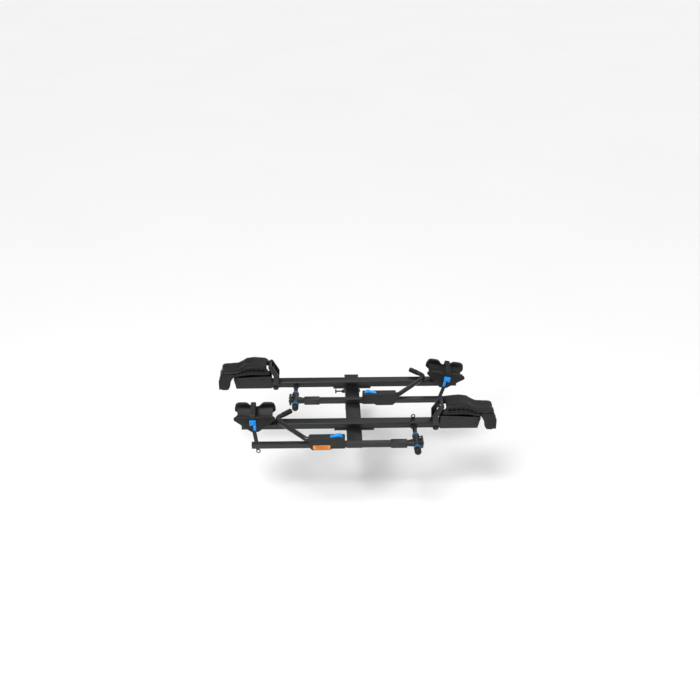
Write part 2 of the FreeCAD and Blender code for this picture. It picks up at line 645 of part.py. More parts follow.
def make_troughs():
    screws = []
    for tray, side, rail in TRAYS:
        low = above_rail("-trough_wall")
        outline = sided(side, [
            ("trough_inboard", low), (TROUGH_OUTBOARD + " - trough_slant", low),
            (TROUGH_OUTBOARD, above_rail("trough_outboard_height")),
            ("trough_inboard", above_rail("trough_inboard_height"))])
        body = plate(tray + "_trough_body", "XZ_Plane", about(rail, TROUGH_OUTSIDE), outline)
        inside = block(tray + "_trough_inside", across(side, "trough_inboard - 5", TROUGH_OUTBOARD + " + 5"),
                       about(rail, TROUGH_INSIDE), (RAIL_BOTTOM, above_rail("trough_inboard_height + 5")))
        pin_hole = rod(tray + "_trough_pin_hole", "Y",
                       (at(side, HINGE_REACH), "%s - (%s) - 5" % (rail, TROUGH_OUTSIDE), HINGE_UP),
                       "hinge_pin_radius + bolt_clearance", "2 * (%s) + 10" % TROUGH_OUTSIDE)
        tools = [inside, pin_hole]
        for number, (reach, up) in enumerate(SCREWS):
            name = "%s_trough_screw_%d" % (tray, number)
            wall = "%s - (%s)" % (rail, TROUGH_OUTSIDE)
            head = rod(name + "_head", "Y", (at(side, reach), wall + " - screw_head_height", above_rail(up)),
                       "screw_head_radius", "screw_head_height")
            shank = rod(name + "_shank", "Y", (at(side, reach), wall, above_rail(up)), "screw_radius",
                        "trough_wall + 1.5")
            screws.append(fuse(name, [head, shank]))
            tools.append(rod(name + "_hole", "Y", (at(side, reach), wall + " - 1", above_rail(up)),
                             "screw_radius + bolt_clearance", "trough_wall + 2"))
        finish(tray + "_trough", cut(tray + "_trough_cut", body, tools))
    finish("trough_screws", group("trough_screw_set", screws))


# the cradle's side outline: distance outboard of its hinge, and height above the rail's underside
CRADLE_SKIN = (
    (-166, 146), (-138, 151), (-94, 155), (-56, 149), (-36, 134), (-6, 119), (44, 117), (72, 84), (86, 70),
    (88, 20),
)
CRADLE_UNDER = ((72, 6), (46, 6), (32, 22), (28, 58), (14, 80), (-6, 92), (-78, 99), (-166, 98))


def outboard_of_hinge(outline):
    return [("%s + (%s)" % (HINGE_REACH, reach), above_rail(str(up))) for reach, up in outline]


def make_cradles():
    for tray, side, rail in TRAYS:
        skin = outboard_of_hinge(CRADLE_SKIN)
        body = plate(tray + "_cradle_body", "XZ_Plane", about(rail, "cradle_half_width"),
                     sided(side, skin + outboard_of_hinge(CRADLE_UNDER)))
        inboard = skin[0][0] + " + cradle_skin"
        hollow_line = [(inboard, skin[0][1] + " - cradle_skin")]
        hollow_line += [("%s - cradle_skin * 0.6" % reach, "%s - cradle_skin" % up)
                        for reach, up in skin[1:-1]]
        hollow_line += [(skin[-1][0] + " - cradle_skin", above_rail("-5")), (inboard, above_rail("-5"))]
        hollow = plate(tray + "_cradle_hollow", "XZ_Plane", about(rail, "cradle_half_width - cradle_lip"),
                       sided(side, hollow_line))
        ears = []
        for number, over in enumerate((-1, 1)):
            near = "(%s) - cradle_ear_gap - cradle_ear" % TROUGH_INSIDE
            y_range = ("%s + %d * (%s)" % (rail, over, near),
                       "%s + %d * (%s + cradle_ear)" % (rail, over, near))[::over]
            outline = sided(side, [
                (HINGE_REACH + " - 8", HINGE_UP + " - 8"), (HINGE_REACH + " + 8", HINGE_UP + " - 8"),
                (HINGE_REACH + " + 22", above_rail("114")), (HINGE_REACH + " - 16", above_rail("116"))])
            pin_hole = ((at(side, HINGE_REACH), HINGE_UP), "hinge_pin_radius + running_clearance")
            ears.append(plate("%s_cradle_ear_%d" % (tray, number), "XZ_Plane", y_range, outline,
                              circles=[pin_hole]))
        shell = cut(tray + "_cradle_shell", body, [hollow])
        finish(tray + "_front_cradle", fuse(tray + "_cradle_solid", [shell] + ears))


def hoop_outline(side):
    """A leg of the hoop, from its round pivot boss up to the cross bar, bent away from the wheel."""
    pivot_up = above_rail("hoop_rise")
    return sided(side, [
        ("hoop_reach - hoop_boss", pivot_up), ("hoop_reach - 20", above_rail("78")),
        ("hoop_reach + 17", above_rail("144")), ("hoop_reach + 39", above_rail("138")),
        ("hoop_reach + 8", above_rail("78")), ("hoop_reach + hoop_boss", pivot_up)])


def make_hoops():
    pins = []
    for tray, side, rail in TRAYS:
        pivot = (at(side, "hoop_reach"), above_rail("hoop_rise"))
        near = "rail_width / 2 + hoop_gap"
        legs = []
        for number, over in enumerate((-1, 1)):
            y_range = ("%s + %d * (%s)" % (rail, over, near),
                       "%s + %d * (%s + hoop_leg)" % (rail, over, near))[::over]
            name = "%s_hoop_leg_%d" % (tray, number)
            boss = rod(name + "_boss", "Y", (pivot[0], y_range[0], pivot[1]), "hoop_boss", "hoop_leg")
            legs += [plate(name, "XZ_Plane", y_range, hoop_outline(side)), boss]
        bar = block(tray + "_hoop_bar", across(side, "hoop_reach + 18", "hoop_reach + 36"),
                    about(rail, near + " + 1"), (above_rail("126"), above_rail("138")))
        bore = rod(tray + "_hoop_bore", "Y", (pivot[0], "%s - rail_width" % rail, pivot[1]),
                   "hoop_pin_radius + running_clearance", "2 * rail_width")
        finish(tray + "_hoop", cut(tray + "_hoop_bored", fuse(tray + "_hoop_solid", legs + [bar]), [bore]))
        for kind, centre, radius, half in (
                ("hoop", pivot, "hoop_pin_radius", near + " + hoop_leg + 0.4"),
                ("cradle", (at(side, HINGE_REACH), HINGE_UP), "hinge_pin_radius", TROUGH_OUTSIDE)):
            name = "%s_%s_pin" % (tray, kind)
            front = "%s - (%s)" % (rail, half)
            shank = rod(name + "_shank", "Y", (centre[0], front, centre[1]), radius, "2 * (%s)" % half)
            head = rod(name + "_head", "Y", (centre[0], front + " - pin_head", centre[1]),
                       radius + " * 1.7", "pin_head")
            tail = rod(name + "_tail", "Y", (centre[0], "%s + (%s)" % (rail, half), centre[1]),
                       radius + " * 1.7", "pin_head")
            pins.append(fuse(name, [shank, head, tail]))
    finish("hinge_pins", group("hinge_pin_set", pins))


# ---------------------------------------------------------------- pivot rods and arms
def in_front(rail, offset):
    return "%s - (%s)" % (rail, offset)


KNUCKLE_BACK = "knuckle_offset - knuckle_length / 2"
KNUCKLE_FRONT = "knuckle_offset + knuckle_length / 2"
CAP_BACK = KNUCKLE_FRONT + " + bush_flange + cap_gap"


def make_rods():
    caps = []
    for tray, side, rail in TRAYS:
        centre_x = at(side, "arm_pivot_reach")
        face = "rail_width / 2 - rail_recess"
        rod_end = CAP_BACK + " + cap_length - 3"
        shaft = rod(tray + "_rod_shaft", "Y", (centre_x, in_front(rail, rod_end), ROD_HEIGHT), "rod_radius",
                    "(%s) - rail_width / 2" % rod_end)
        # the foot fills the recess of the rail's lower band and stands against both bands
        foot_top = above_rail("rail_band")
        foot = block(tray + "_rod_foot", about(centre_x, "rod_flange_radius"),
                     (in_front(rail, "rail_width / 2 + rod_flange"), in_front(rail, face)),
                     (RAIL_BOTTOM, foot_top))
        finish(tray + "_pivot_rod", fuse(tray + "_rod_solid", [shaft, foot]))
        cap_front = in_front(rail, CAP_BACK + " + cap_length")
        cap = rod(tray + "_cap_outside", "Y", (centre_x, cap_front, ROD_HEIGHT), "cap_radius", "cap_length")
        bore = rod(tray + "_cap_bore", "Y", (centre_x, in_front(rail, rod_end), ROD_HEIGHT),
                   "rod_radius + bolt_clearance", "cap_length + 5")
        caps.append(cut(tray + "_cap", cap, [bore]))
    finish("rod_caps", group("rod_cap_pair", caps))


def along_arm(side, near, far):
    """The X range between two distances from the arm's pivot."""
    return across(-side, "(%s) - arm_pivot_reach" % near, "(%s) - arm_pivot_reach" % far)


def arm_x(side, distance):
    return "%d * (arm_pivot_reach - (%s))" % (side, distance)


def make_arms():
    for tray, side, rail in TRAYS:
        centre_x = at(side, "arm_pivot_reach")
        arm_y = in_front(rail, "arm_offset")
        barrel = rod(tray + "_barrel", "Y", (centre_x, in_front(rail, KNUCKLE_FRONT), ROD_HEIGHT),
                     "knuckle_radius", "knuckle_length")
        lug = block(tray + "_knuckle_lug", along_arm(side, "0", "arm_start"),
                    about(arm_y, "arm_size / 2 - 1.5"), about(ARM_HEIGHT, "arm_size / 2 - 0.5"))
        neck = block(tray + "_knuckle_neck", along_arm(side, "-end_plate_reach", "0"),
                     about(in_front(rail, "knuckle_offset"), "18"), about(ROD_HEIGHT, "13"))
        bore = rod(tray + "_knuckle_bore", "Y",
                   (centre_x, in_front(rail, KNUCKLE_FRONT + " + 5"), ROD_HEIGHT),
                   "rod_radius + bush_wall + plug_clearance", "knuckle_length + 10")
        bolt_x = arm_x(side, "lug_bolt_reach")
        bolt_hole = rod(tray + "_lug_bolt_hole", "Y", (bolt_x, arm_y + " - 40", ARM_HEIGHT),
                        "small_bolt_radius + bolt_clearance", "80")
        knuckle = fuse(tray + "_knuckle_solid", [barrel, lug, neck])
        finish(tray + "_knuckle", cut(tray + "_knuckle_bored", knuckle, [bore, bolt_hole]))
        bushes = []
        for end, face, outward in (("front", KNUCKLE_FRONT, 1), ("back", KNUCKLE_BACK, -1)):
            if outward > 0:
                flange_y, sleeve_y = in_front(rail, face + " + bush_flange"), in_front(rail, face)
            else:
                flange_y, sleeve_y = in_front(rail, face), in_front(rail, face + " + bush_depth")
            name = "%s_bush_%s" % (tray, end)
            ring = rod(name + "_ring", "Y", (centre_x, flange_y, ROD_HEIGHT), "bush_radius", "bush_flange")
            sleeve = rod(name + "_sleeve", "Y", (centre_x, sleeve_y, ROD_HEIGHT), "rod_radius + bush_wall",
                         "bush_depth")
            hole = rod(name + "_hole", "Y", (centre_x, in_front(rail, face + " + 40"), ROD_HEIGHT),
                       "rod_radius + running_clearance", "80")
            bushes.append(cut(name, fuse(name + "_solid", [ring, sleeve]), [hole]))
        finish(tray + "_bushes", group(tray + "_bush_pair", bushes))
        finish(tray + "_end_plate",
               block(tray + "_end_plate_block",
                     along_arm(side, "-end_plate_reach - end_plate_thickness", "-end_plate_reach"),
                     about(in_front(rail, "knuckle_offset"), "end_plate_width / 2"),
                     about(ROD_HEIGHT, "end_plate_height / 2")))
        tube_ranges = (along_arm(side, "arm_start", "arm_reach"), about(arm_y, "arm_size / 2"),
                       about(ARM_HEIGHT, "arm_size / 2"))
        finish(tray + "_arm_tube", square_tube(tray + "_arm_square", *tube_ranges, "arm_wall", "X"))
        finish(tray + "_arm_plug", tube_plug(tray + "_arm_end", *tube_ranges, "arm_wall", "X", -side))
        sleeve_half = "arm_size / 2 + plug_clearance"
        sleeve_out = block(tray + "_sleeve_outside", along_arm(side, "sleeve_start", "sleeve_end"),
                           about(arm_y, sleeve_half + " + sleeve_wall"),
                           about(ARM_HEIGHT, sleeve_half + " + sleeve_wall"))
        sleeve_in = block(tray + "_sleeve_inside", along_arm(side, "sleeve_start - 5", "sleeve_end + 5"),
                          about(arm_y, sleeve_half), about(ARM_HEIGHT, sleeve_half))
        finish(tray + "_arm_sleeve", cut(tray + "_sleeve", sleeve_out, [sleeve_in]))
        bolts = []
        lug_half = "arm_size / 2 - 1.5"
        name = tray + "_lug_bolt"
        shank = rod(name + "_shank", "Y", (bolt_x, "%s - (%s)" % (arm_y, lug_half), ARM_HEIGHT),
                    "small_bolt_radius", "2 * (%s)" % lug_half)
        head = hexagon(name + "_head", "Y", (bolt_x, "%s - (%s) - 5" % (arm_y, lug_half), ARM_HEIGHT),
                       "small_bolt_radius * 1.8", "5")
        nut = hexagon(name + "_nut", "Y", (bolt_x, "%s + (%s)" % (arm_y, lug_half), ARM_HEIGHT),
                      "small_bolt_radius * 1.8", "5")
        bolts.append(fuse(name, [shank, head, nut]))
        for number, distance in enumerate(("sleeve_start + 8", "sleeve_end - 14")):
            face_y = "%s - (%s) - sleeve_wall" % (arm_y, sleeve_half)
            bolts.append(rod("%s_rivet_%d" % (tray, number), "Y",
                             (arm_x(side, distance), face_y + " - 1.5", ARM_HEIGHT + " - 6"), "3.2", "1.5"))
        finish(tray + "_arm_bolts", group(tray + "_arm_bolt_set", bolts))


# ---------------------------------------------------------------- handle, hook and trigger
HANDLE_END = "handle_start + handle_length"
HOOK_START = HANDLE_END + " - hook_insert"
HOOK_HEIGHT = ARM_HEIGHT + " + hook_height"
TRIGGER_FREE = "handle_start + trigger_start"
TRIGGER_HINGE = TRIGGER_FREE + " + trigger_length - 6"
TRIGGER_HINGE_UP = ARM_HEIGHT + " + handle_top - 7"


def hook_corners():
    """The corners of the hook's centre line: distance from the arm's pivot, and distance from the arm
    towards the rail. It leaves the handle, bends towards the rail and turns back over the wheel's line."""
    first = (value(HANDLE_END + " + hook_exit"), 0.0)
    run = value("arm_offset") / math.sin(math.radians(value("hook_first_turn")))
    second = (first[0] + run * math.cos(math.radians(value("hook_first_turn"))), value("arm_offset"))
    heading = math.radians(value("hook_first_turn + hook_turn"))
    tip = (second[0] + value("hook_tip_length") * math.cos(heading),
           second[1] + value("hook_tip_length") * math.sin(heading))
    return (value(HOOK_START), 0.0), first, second, tip


def bent_wire(points, radii):
    """Straight runs joined by tangent arcs, one radius at each inner point."""
    edges = []
    last = points[0]
    for corner, following, radius in zip(points[1:-1], points[2:], radii):
        before = (last - corner).normalize()
        after = (following - corner).normalize()
        half_turn = (math.pi - before.getAngle(after)) / 2
        reach = radius * math.tan(half_turn)
        bisector = (before + after).normalize()
        apex = corner + bisector * (radius / math.cos(half_turn) - radius)
        edges.append(Part.LineSegment(last, corner + before * reach).toShape())
        edges.append(Part.Arc(corner + before * reach, apex, corner + after * reach).toShape())
        last = corner + after * reach
    edges.append(Part.LineSegment(last, points[-1]).toShape())
    return Part.Wire(edges)


def pipe(wire, radius, bore):
    """A round tube along a wire."""
    start = wire.Edges[0].firstVertex().Point
    direction = wire.Edges[0].tangentAt(wire.Edges[0].FirstParameter)
    solids = []
    for size in (radius, bore):
        ring = Part.Wire(Part.makeCircle(size, start, direction))
        solids.append(wire.makePipeShell([ring], True, False))
    return solids[0].cut(solids[1])


def make_hooks():
    for tray, side, rail in TRAYS:
        arm_y = value(in_front(rail, "arm_offset"))
        height = value(HOOK_HEIGHT)
        pivot_x = value("arm_pivot_reach")
        points = [Vector(side * (pivot_x - distance), arm_y + over, height)
                  for distance, over in hook_corners()]
        wire = bent_wire(points, [value("hook_first_bend"), value("hook_bend")])
        lift = Placement(Vector(), Rotation(Vector(1, 0, 0), value("hook_lift")), Vector(0, arm_y, height))
        hook = document.addObject("Part::Feature", tray + "_hook_tube")
        hook.Shape = pipe(wire, value("hook_radius"), value("hook_radius - hook_wall"))
        hook.Placement = lift
        finish(tray + "_hook", hook)
        # the pad covers the tip and closes the tube's end
        tip = points[-1]
        back = (points[-2] - tip).normalize()
        outer = value("hook_radius + hook_pad_wall")
        sleeve = Part.makeCylinder(outer, value("hook_pad_length"), tip - back * 4, back)
        inner = Part.makeCylinder(value("hook_radius + bolt_clearance"), value("hook_pad_length"), tip, back)
        edge = [item for item in sleeve.Edges if (item.CenterOfMass - (tip - back * 4)).Length < 0.1]
        pad = document.addObject("Part::Feature", tray + "_hook_pad_tube")
        pad.Shape = sleeve.makeFillet(3, edge).cut(inner)
        pad.Placement = lift
        finish(tray + "_hook_pad", pad)


def make_handles():
    for tray, side, rail in TRAYS:
        arm_y = in_front(rail, "arm_offset")
        low = ARM_HEIGHT + " - arm_size / 2 - slide_clearance - handle_floor"
        belly = low + " - handle_bulge"
        top = ARM_HEIGHT + " + handle_top"
        outline = [
            ("handle_start", low), ("handle_start", top + " - 5"), ("handle_start + 6", top),
            (HANDLE_END + " - 6", top), (HANDLE_END, top + " - 6"), (HANDLE_END, low + " + 10"),
            (HANDLE_END + " - 18", belly), ("handle_start + 74", belly), ("handle_start + 64", low)]
        corners = [(arm_x(side, distance), up) for distance, up in outline]
        tube_gap = "arm_size / 2 + slide_clearance"
        channel = block(tray + "_handle_channel", along_arm(side, "handle_start - 5", HANDLE_END + " + 5"),
                        about(arm_y, tube_gap), about(ARM_HEIGHT, tube_gap))
        hook_start_x = arm_x(side, HOOK_START) if side < 0 else arm_x(side, HANDLE_END + " + 5")
        socket = rod(tray + "_handle_socket", "X", (hook_start_x, arm_y, HOOK_HEIGHT),
                     "hook_radius + bolt_clearance", "hook_insert + 5")
        pocket_x = along_arm(side, TRIGGER_FREE + " - trigger_gap",
                             TRIGGER_FREE + " + trigger_length + trigger_gap")
        pocket = block(tray + "_trigger_pocket", pocket_x,
                       about(arm_y, "trigger_width / 2 + trigger_gap"), (top + " - 20", top + " + 5"))
        pin_hole = rod(tray + "_trigger_pin_hole", "Y",
                       (arm_x(side, TRIGGER_HINGE), arm_y + " - trigger_width / 2 - 4.2", TRIGGER_HINGE_UP),
                       "trigger_pin_radius + bolt_clearance", "trigger_width + 8.4")
        for half, y_range in (("handle_shell", ("%s - handle_width / 2" % arm_y, arm_y)),
                              ("handle_cover", (arm_y, "%s + handle_width / 2" % arm_y))):
            body = plate("%s_%s_body" % (tray, half), "XZ_Plane", y_range, corners)
            finish("%s_%s" % (tray, half),
                   cut("%s_%s_cut" % (tray, half), body, [channel, socket, pocket, pin_hole]))
        # the trigger and, in one piece with it, its hinge pin
        shape = [
            (TRIGGER_FREE, top + " - 12"), (TRIGGER_FREE, top + " + 1"),
            (TRIGGER_FREE + " + 12", top + " + 11"), (TRIGGER_FREE + " + 22", top + " + 12"),
            (TRIGGER_FREE + " + 36", top + " + 5"),
            (TRIGGER_FREE + " + trigger_length", top + " - 1"),
            (TRIGGER_FREE + " + trigger_length", top + " - 12")]
        paddle = plate(tray + "_trigger_body", "XZ_Plane", about(arm_y, "trigger_width / 2"),
                       [(arm_x(side, distance), up) for distance, up in shape])
        pin = rod(tray + "_trigger_pin", "Y",
                  (arm_x(side, TRIGGER_HINGE), arm_y + " - trigger_width / 2 - 4", TRIGGER_HINGE_UP),
                  "trigger_pin_radius", "trigger_width + 8")
        finish(tray + "_trigger", fuse(tray + "_trigger_solid", [paddle, pin]))


# ---------------------------------------------------------------- rear wheel cradle
ROCK_UP = above_rail("rock_rise")
SLIDER_HALF = "rail_width / 2 + slider_clearance + slider_wall"


def from_rear(side, shift):
    """An X value measured from the rear cradle's middle, positive outboard."""
    return "%d * (rear_reach + (%s))" % (-side, shift)


def rocked(tray, side, rail, solid):
    """Turn a piece of the inner tray's rear cradle to its resting tilt about the rocking pin."""
    if tray == "outer":
        return solid
    angle = "inner_rock_tilt"
    solid.Placement = Placement(Vector(), Rotation(Vector(0, 1, 0), 1))
    bind(solid, "Placement.Rotation.Angle", angle)
    centre_x, centre_z = from_rear(side, "0"), ROCK_UP
    bind(solid, "Placement.Base.x",
         "(%s) * (1 - cos(%s)) - (%s) * sin(%s)" % (centre_x, angle, centre_z, angle))
    bind(solid, "Placement.Base.z",
         "(%s) * (1 - cos(%s)) + (%s) * sin(%s)" % (centre_z, angle, centre_x, angle))
    return solid


def make_sliders():
    for tray, side, rail in TRAYS:
        length = across(-side, "rear_reach - slider_length / 2", "rear_reach + slider_length / 2")
        roof = RAIL_TOP + " + slider_clearance + slider_wall"
        low = above_rail("4")
        centre_x = from_rear(side, "0")
        outside = block(tray + "_slider_block", length, about(rail, SLIDER_HALF), (low, roof))
        boss = rod(tray + "_slider_boss", "Y", (centre_x, "%s - (%s)" % (rail, SLIDER_HALF), ROCK_UP),
                   "rock_boss", "2 * (%s)" % SLIDER_HALF)
        neck = block(tray + "_slider_neck", about(centre_x, "rock_boss"), about(rail, SLIDER_HALF),
                     (roof + " - 1", ROCK_UP))
        trunnion_half = HULL_HALF + " - 4"
        trunnion = rod(tray + "_slider_trunnion", "Y",
                       (centre_x, "%s - (%s)" % (rail, trunnion_half), ROCK_UP),
                       "rock_pin_radius", "2 * (%s)" % trunnion_half)
        long_x = across(-side, "rear_reach - slider_length", "rear_reach + slider_length")
        wide = block(tray + "_slider_wide", long_x, about(rail, "rail_width / 2 + slider_clearance"),
                     (above_rail("rail_band - slider_clearance"), RAIL_TOP + " + slider_clearance"))
        narrow = block(tray + "_slider_narrow", long_x,
                       about(rail, "rail_width / 2 - rail_recess + slider_clearance"),
                       (RAIL_BOTTOM, above_rail("rail_band")))
        solid = fuse(tray + "_slider_solid", [outside, boss, neck, trunnion])
        finish(tray + "_rear_slider", cut(tray + "_slider_cut", solid, [wide, narrow]))


def make_rear_cradles():
    for tray, side, rail in TRAYS:
        low = above_rail("hull_low")
        corner = above_rail("hull_corner")
        front_top = above_rail("front_wall_height")
        lobe = above_rail("lobe_height")
        floor_low = above_rail("hull_floor")
        floor_top = above_rail("hull_floor + hull_floor_thickness")
        keel = [("hull_half_flat", low), ("hull_half_length", corner + " - 10"), ("hull_half_length", corner)]
        tops = {
            "front": [("hull_half_length - 30", front_top), ("20", front_top)],
            "back": [("lobe_offset + 22", lobe + " - 5"), ("lobe_offset - 14", lobe), ("18", lobe + " - 20")],
        }
        walls = {}
        for wall, top in tops.items():
            half = keel + top
            outline = [(from_rear(side, shift), up) for shift, up in half]
            outline += [(from_rear(side, "-(%s)" % shift), up) for shift, up in reversed(half)]
            if wall == "front":
                reach = (("%s - " + HULL_HALF) % rail, ("%s - " + CHANNEL_HALF) % rail)
            else:
                reach = (("%s + " + CHANNEL_HALF) % rail, ("%s + " + HULL_HALF) % rail)
            walls[wall] = plate("%s_hull_%s" % (tray, wall), "XZ_Plane", reach, outline)
        floor_x = across(-side, "rear_reach - hull_floor_reach", "rear_reach + hull_floor_reach")
        floor = block(tray + "_hull_floor", floor_x, about(rail, CHANNEL_HALF + " + 1"),
                      (floor_low, floor_top))
        solid = fuse(tray + "_hull_solid", [walls["front"], walls["back"], floor])
        centre_x = from_rear(side, "0")
        bore = rod(tray + "_hull_bore", "Y", (centre_x, ("%s - " + HULL_HALF + " + 4 - 0.3") % rail, ROCK_UP),
                   "rock_pin_radius + running_clearance", "2 * (" + HULL_HALF + " - 4 + 0.3)")
        slot_x = across(-side, "rear_reach + strap_shift - strap_width / 2 - 0.3",
                        "rear_reach + strap_shift + strap_width / 2 + 0.3")
        notch = block(tray + "_hull_notch", slot_x,
                      (("%s - " + HULL_HALF + " - 1") % rail, ("%s - " + CHANNEL_HALF + " + 1") % rail),
                      (front_top + " - 8", front_top + " + 5"))
        finish(tray + "_rear_cradle", rocked(tray, side, rail, cut(tray + "_hull", solid, [bore, notch])))


def ribbon(name, rail, x_range, path, thickness):
    """A flat strap: straight runs and arcs in the YZ plane, given a thickness and a width."""
    points = [Vector(value(x_range[0]), value(rail) + over, value(above_rail(str(up))))
              for over, up, radius in path]
    radii = [radius for over, up, radius in path[1:-1]]
    wire = bent_wire(points, radii)
    face = wire.makeOffset2D(value(thickness), 0, True, True)
    strap = document.addObject("Part::Feature", name)
    strap.Shape = face.extrude(Vector(value(x_range[1]) - value(x_range[0]), 0, 0))
    return strap


def make_straps():
    for tray, side, rail in TRAYS:
        x_range = across(-side, "rear_reach + strap_shift - strap_width / 2",
                         "rear_reach + strap_shift + strap_width / 2")
        wall = value(HULL_HALF + " + strap_seat")
        thick = value("strap_thickness")
        over_front = value("front_wall_height") - 8 + 0.4
        buckle_top = value("buckle_rise + buckle_height / 2")
        path = [(wall, 66.0, 0), (wall, value("lobe_height") - 1, 9.0),
                (value(CHANNEL_HALF) - 12, value("lobe_height") + 1, 30.0),
                (-wall, over_front + 5, 9.0), (-wall, buckle_top, 0)]
        band = ribbon(tray + "_strap_band", rail, x_range, path, "strap_thickness")
        anchor_x = from_rear(side, "strap_shift")
        middle = value(anchor_x)
        # the free tail hangs just under the buckle, leaning towards the spine, and ends in a ring
        hang_y = value(rail) - wall - thick
        corner_rise = value("tail_width / 2 * sin(strap_lean)")
        top_z = value(above_rail("buckle_rise - buckle_height / 2 - strap_seat")) - corner_rise
        length = value("strap_tail")
        ring = value("strap_ring_radius")
        width = value("tail_width")
        strip = Part.makeBox(width, thick, length, Vector(middle - width / 2, hang_y, top_z - length))
        ring_z = top_z - length - ring + 3
        disc = Part.makeCylinder(ring, thick, Vector(middle, hang_y, ring_z), Vector(0, 1, 0))
        hole = Part.makeCylinder(value("strap_ring_hole"), thick + 2,
                                 Vector(middle, hang_y - 1, ring_z), Vector(0, 1, 0))
        tail = strip.fuse(disc).cut(hole).removeSplitter()
        tail.rotate(Vector(middle, hang_y, top_z), Vector(0, 1, 0), -side * value("strap_lean"))
        tail_part = document.addObject("Part::Feature", tray + "_strap_tail")
        tail_part.Shape = tail
        finish(tray + "_ladder_strap", rocked(tray, side, rail, group(tray + "_strap", [band, tail_part])))


def make_buckles():
    for tray, side, rail in TRAYS:
        middle = above_rail("buckle_rise")
        centre = "rear_reach + strap_shift"
        face = ("%s - " + HULL_HALF) % rail
        body_x = across(-side, centre + " - buckle_width / 2", centre + " + buckle_width / 2")
        body = block(tray + "_buckle_block", body_x, (face + " - buckle_depth", face),
                     about(middle, "buckle_height / 2"))
        finish(tray + "_buckle", rocked(tray, side, rail, group(tray + "_buckle_solid", [body])))
        lever_x = across(-side, centre + " - buckle_width / 2",
                         centre + " - buckle_width / 2 + lever_width")
        top = middle + " - buckle_height / 2 - 0.4"
        lever_y = (face + " - buckle_depth", face + " - buckle_depth + 2 * lever_barrel")
        paddle = block(tray + "_lever_paddle", lever_x, lever_y,
                       (top + " - lever_length", top + " - lever_barrel"))
        barrel = rod(tray + "_lever_barrel", "X",
                     (lever_x[0], lever_y[0] + " + lever_barrel", top + " - lever_barrel"),
                     "lever_barrel", "lever_width")
        lever = fuse(tray + "_lever_parts", [paddle, barrel])
        finish(tray + "_buckle_lever", rocked(tray, side, rail, group(tray + "_lever_solid", [lever])))


def make_lock_loop():
    """A ring on the outer rail, behind the arm's pivot rod, for a cable lock."""
    centre_x = at(1, "arm_pivot_reach - 3")
    middle_y = OUTER_RAIL + " + rail_width / 2 - 12"
    base = block("loop_base_block", about(centre_x, "8"), about(middle_y, "7"),
                 (RAIL_TOP, RAIL_TOP + " + loop_base"))
    ring = document.addObject("Part::Torus", "loop_ring")
    bind(ring, "Radius1", "loop_ring_radius")
    bind(ring, "Radius2", "loop_wire_radius")
    ring_up = RAIL_TOP + " + loop_base + loop_ring_radius + loop_wire_radius - 1.5"
    place(ring, "Y", (centre_x, middle_y, ring_up))
    finish("lock_loop", fuse("lock_loop_solid", [base, ring]))


# ---------------------------------------------------------------- build, check and write
def main():
    for make in (make_hitch, make_pivot, make_lugs, make_spine, make_saddles, make_rails, make_troughs,
                 make_cradles, make_hoops, make_rods, make_arms, make_hooks, make_handles, make_sliders,
                 make_rear_cradles, make_straps, make_buckles, make_lock_loop):
        make()
    document.recompute()
    for thing in document.Objects:
        if "Invalid" in thing.State or "Error" in thing.State:
            raise RuntimeError("%s failed: %s" % (thing.Name, thing.State))
    for node, solid in finished.items():
        if solid.Shape.isNull() or not solid.Shape.isValid() or not solid.Shape.Solids:
            raise RuntimeError("%s has no valid solid" % node)
    os.makedirs("parts", exist_ok=True)
    for node, solid in finished.items():
        solid.Shape.exportStep("parts/%s.step" % node)
    print(len(finished), "nodes written")


main()
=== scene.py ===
"""Looks of a hitch mounted bike rack: its moulded wheel holders, arms, handles, straps and finishes."""
import json
import math

import bpy
import numpy as np
from bpy.props import FloatProperty, FloatVectorProperty, IntProperty, PointerProperty
from mathutils import Matrix, Vector


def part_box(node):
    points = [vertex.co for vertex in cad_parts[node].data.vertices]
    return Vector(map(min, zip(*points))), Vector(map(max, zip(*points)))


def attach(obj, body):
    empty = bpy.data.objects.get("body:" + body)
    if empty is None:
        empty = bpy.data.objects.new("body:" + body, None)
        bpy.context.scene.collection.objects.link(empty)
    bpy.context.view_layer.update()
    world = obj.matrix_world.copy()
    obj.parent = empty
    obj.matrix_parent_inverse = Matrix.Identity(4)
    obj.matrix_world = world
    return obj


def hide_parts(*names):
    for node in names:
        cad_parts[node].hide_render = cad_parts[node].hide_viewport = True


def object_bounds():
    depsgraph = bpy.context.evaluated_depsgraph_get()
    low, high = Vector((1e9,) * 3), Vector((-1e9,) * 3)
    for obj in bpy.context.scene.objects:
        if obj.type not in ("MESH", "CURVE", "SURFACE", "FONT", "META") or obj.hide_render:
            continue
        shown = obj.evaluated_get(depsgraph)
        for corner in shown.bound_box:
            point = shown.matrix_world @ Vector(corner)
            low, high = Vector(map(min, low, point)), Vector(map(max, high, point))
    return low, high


bl_info = {
    "name": "Hitch Bike Rack Looks",
    "version": (1, 0, 0),
    "blender": (4, 5, 0),
    "location": "View3D > Sidebar > Bike Rack",
    "description": "Builds the detailed pieces and finishes of a hitch mounted bike rack",
    "category": "Object",
}

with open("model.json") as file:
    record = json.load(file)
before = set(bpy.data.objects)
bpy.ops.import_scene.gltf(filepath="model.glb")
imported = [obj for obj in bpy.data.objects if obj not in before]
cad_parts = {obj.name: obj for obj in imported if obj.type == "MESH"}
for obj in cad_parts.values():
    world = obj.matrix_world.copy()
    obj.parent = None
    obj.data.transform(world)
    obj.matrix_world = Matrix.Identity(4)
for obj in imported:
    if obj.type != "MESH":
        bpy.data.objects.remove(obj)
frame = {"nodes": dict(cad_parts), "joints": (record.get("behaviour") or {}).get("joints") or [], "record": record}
CAD_BOX = [list(corner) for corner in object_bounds()]
JOINTS = {joint["name"]: joint for joint in frame["joints"]}
MM = 0.001
SHARP_ANGLE = math.radians(38)


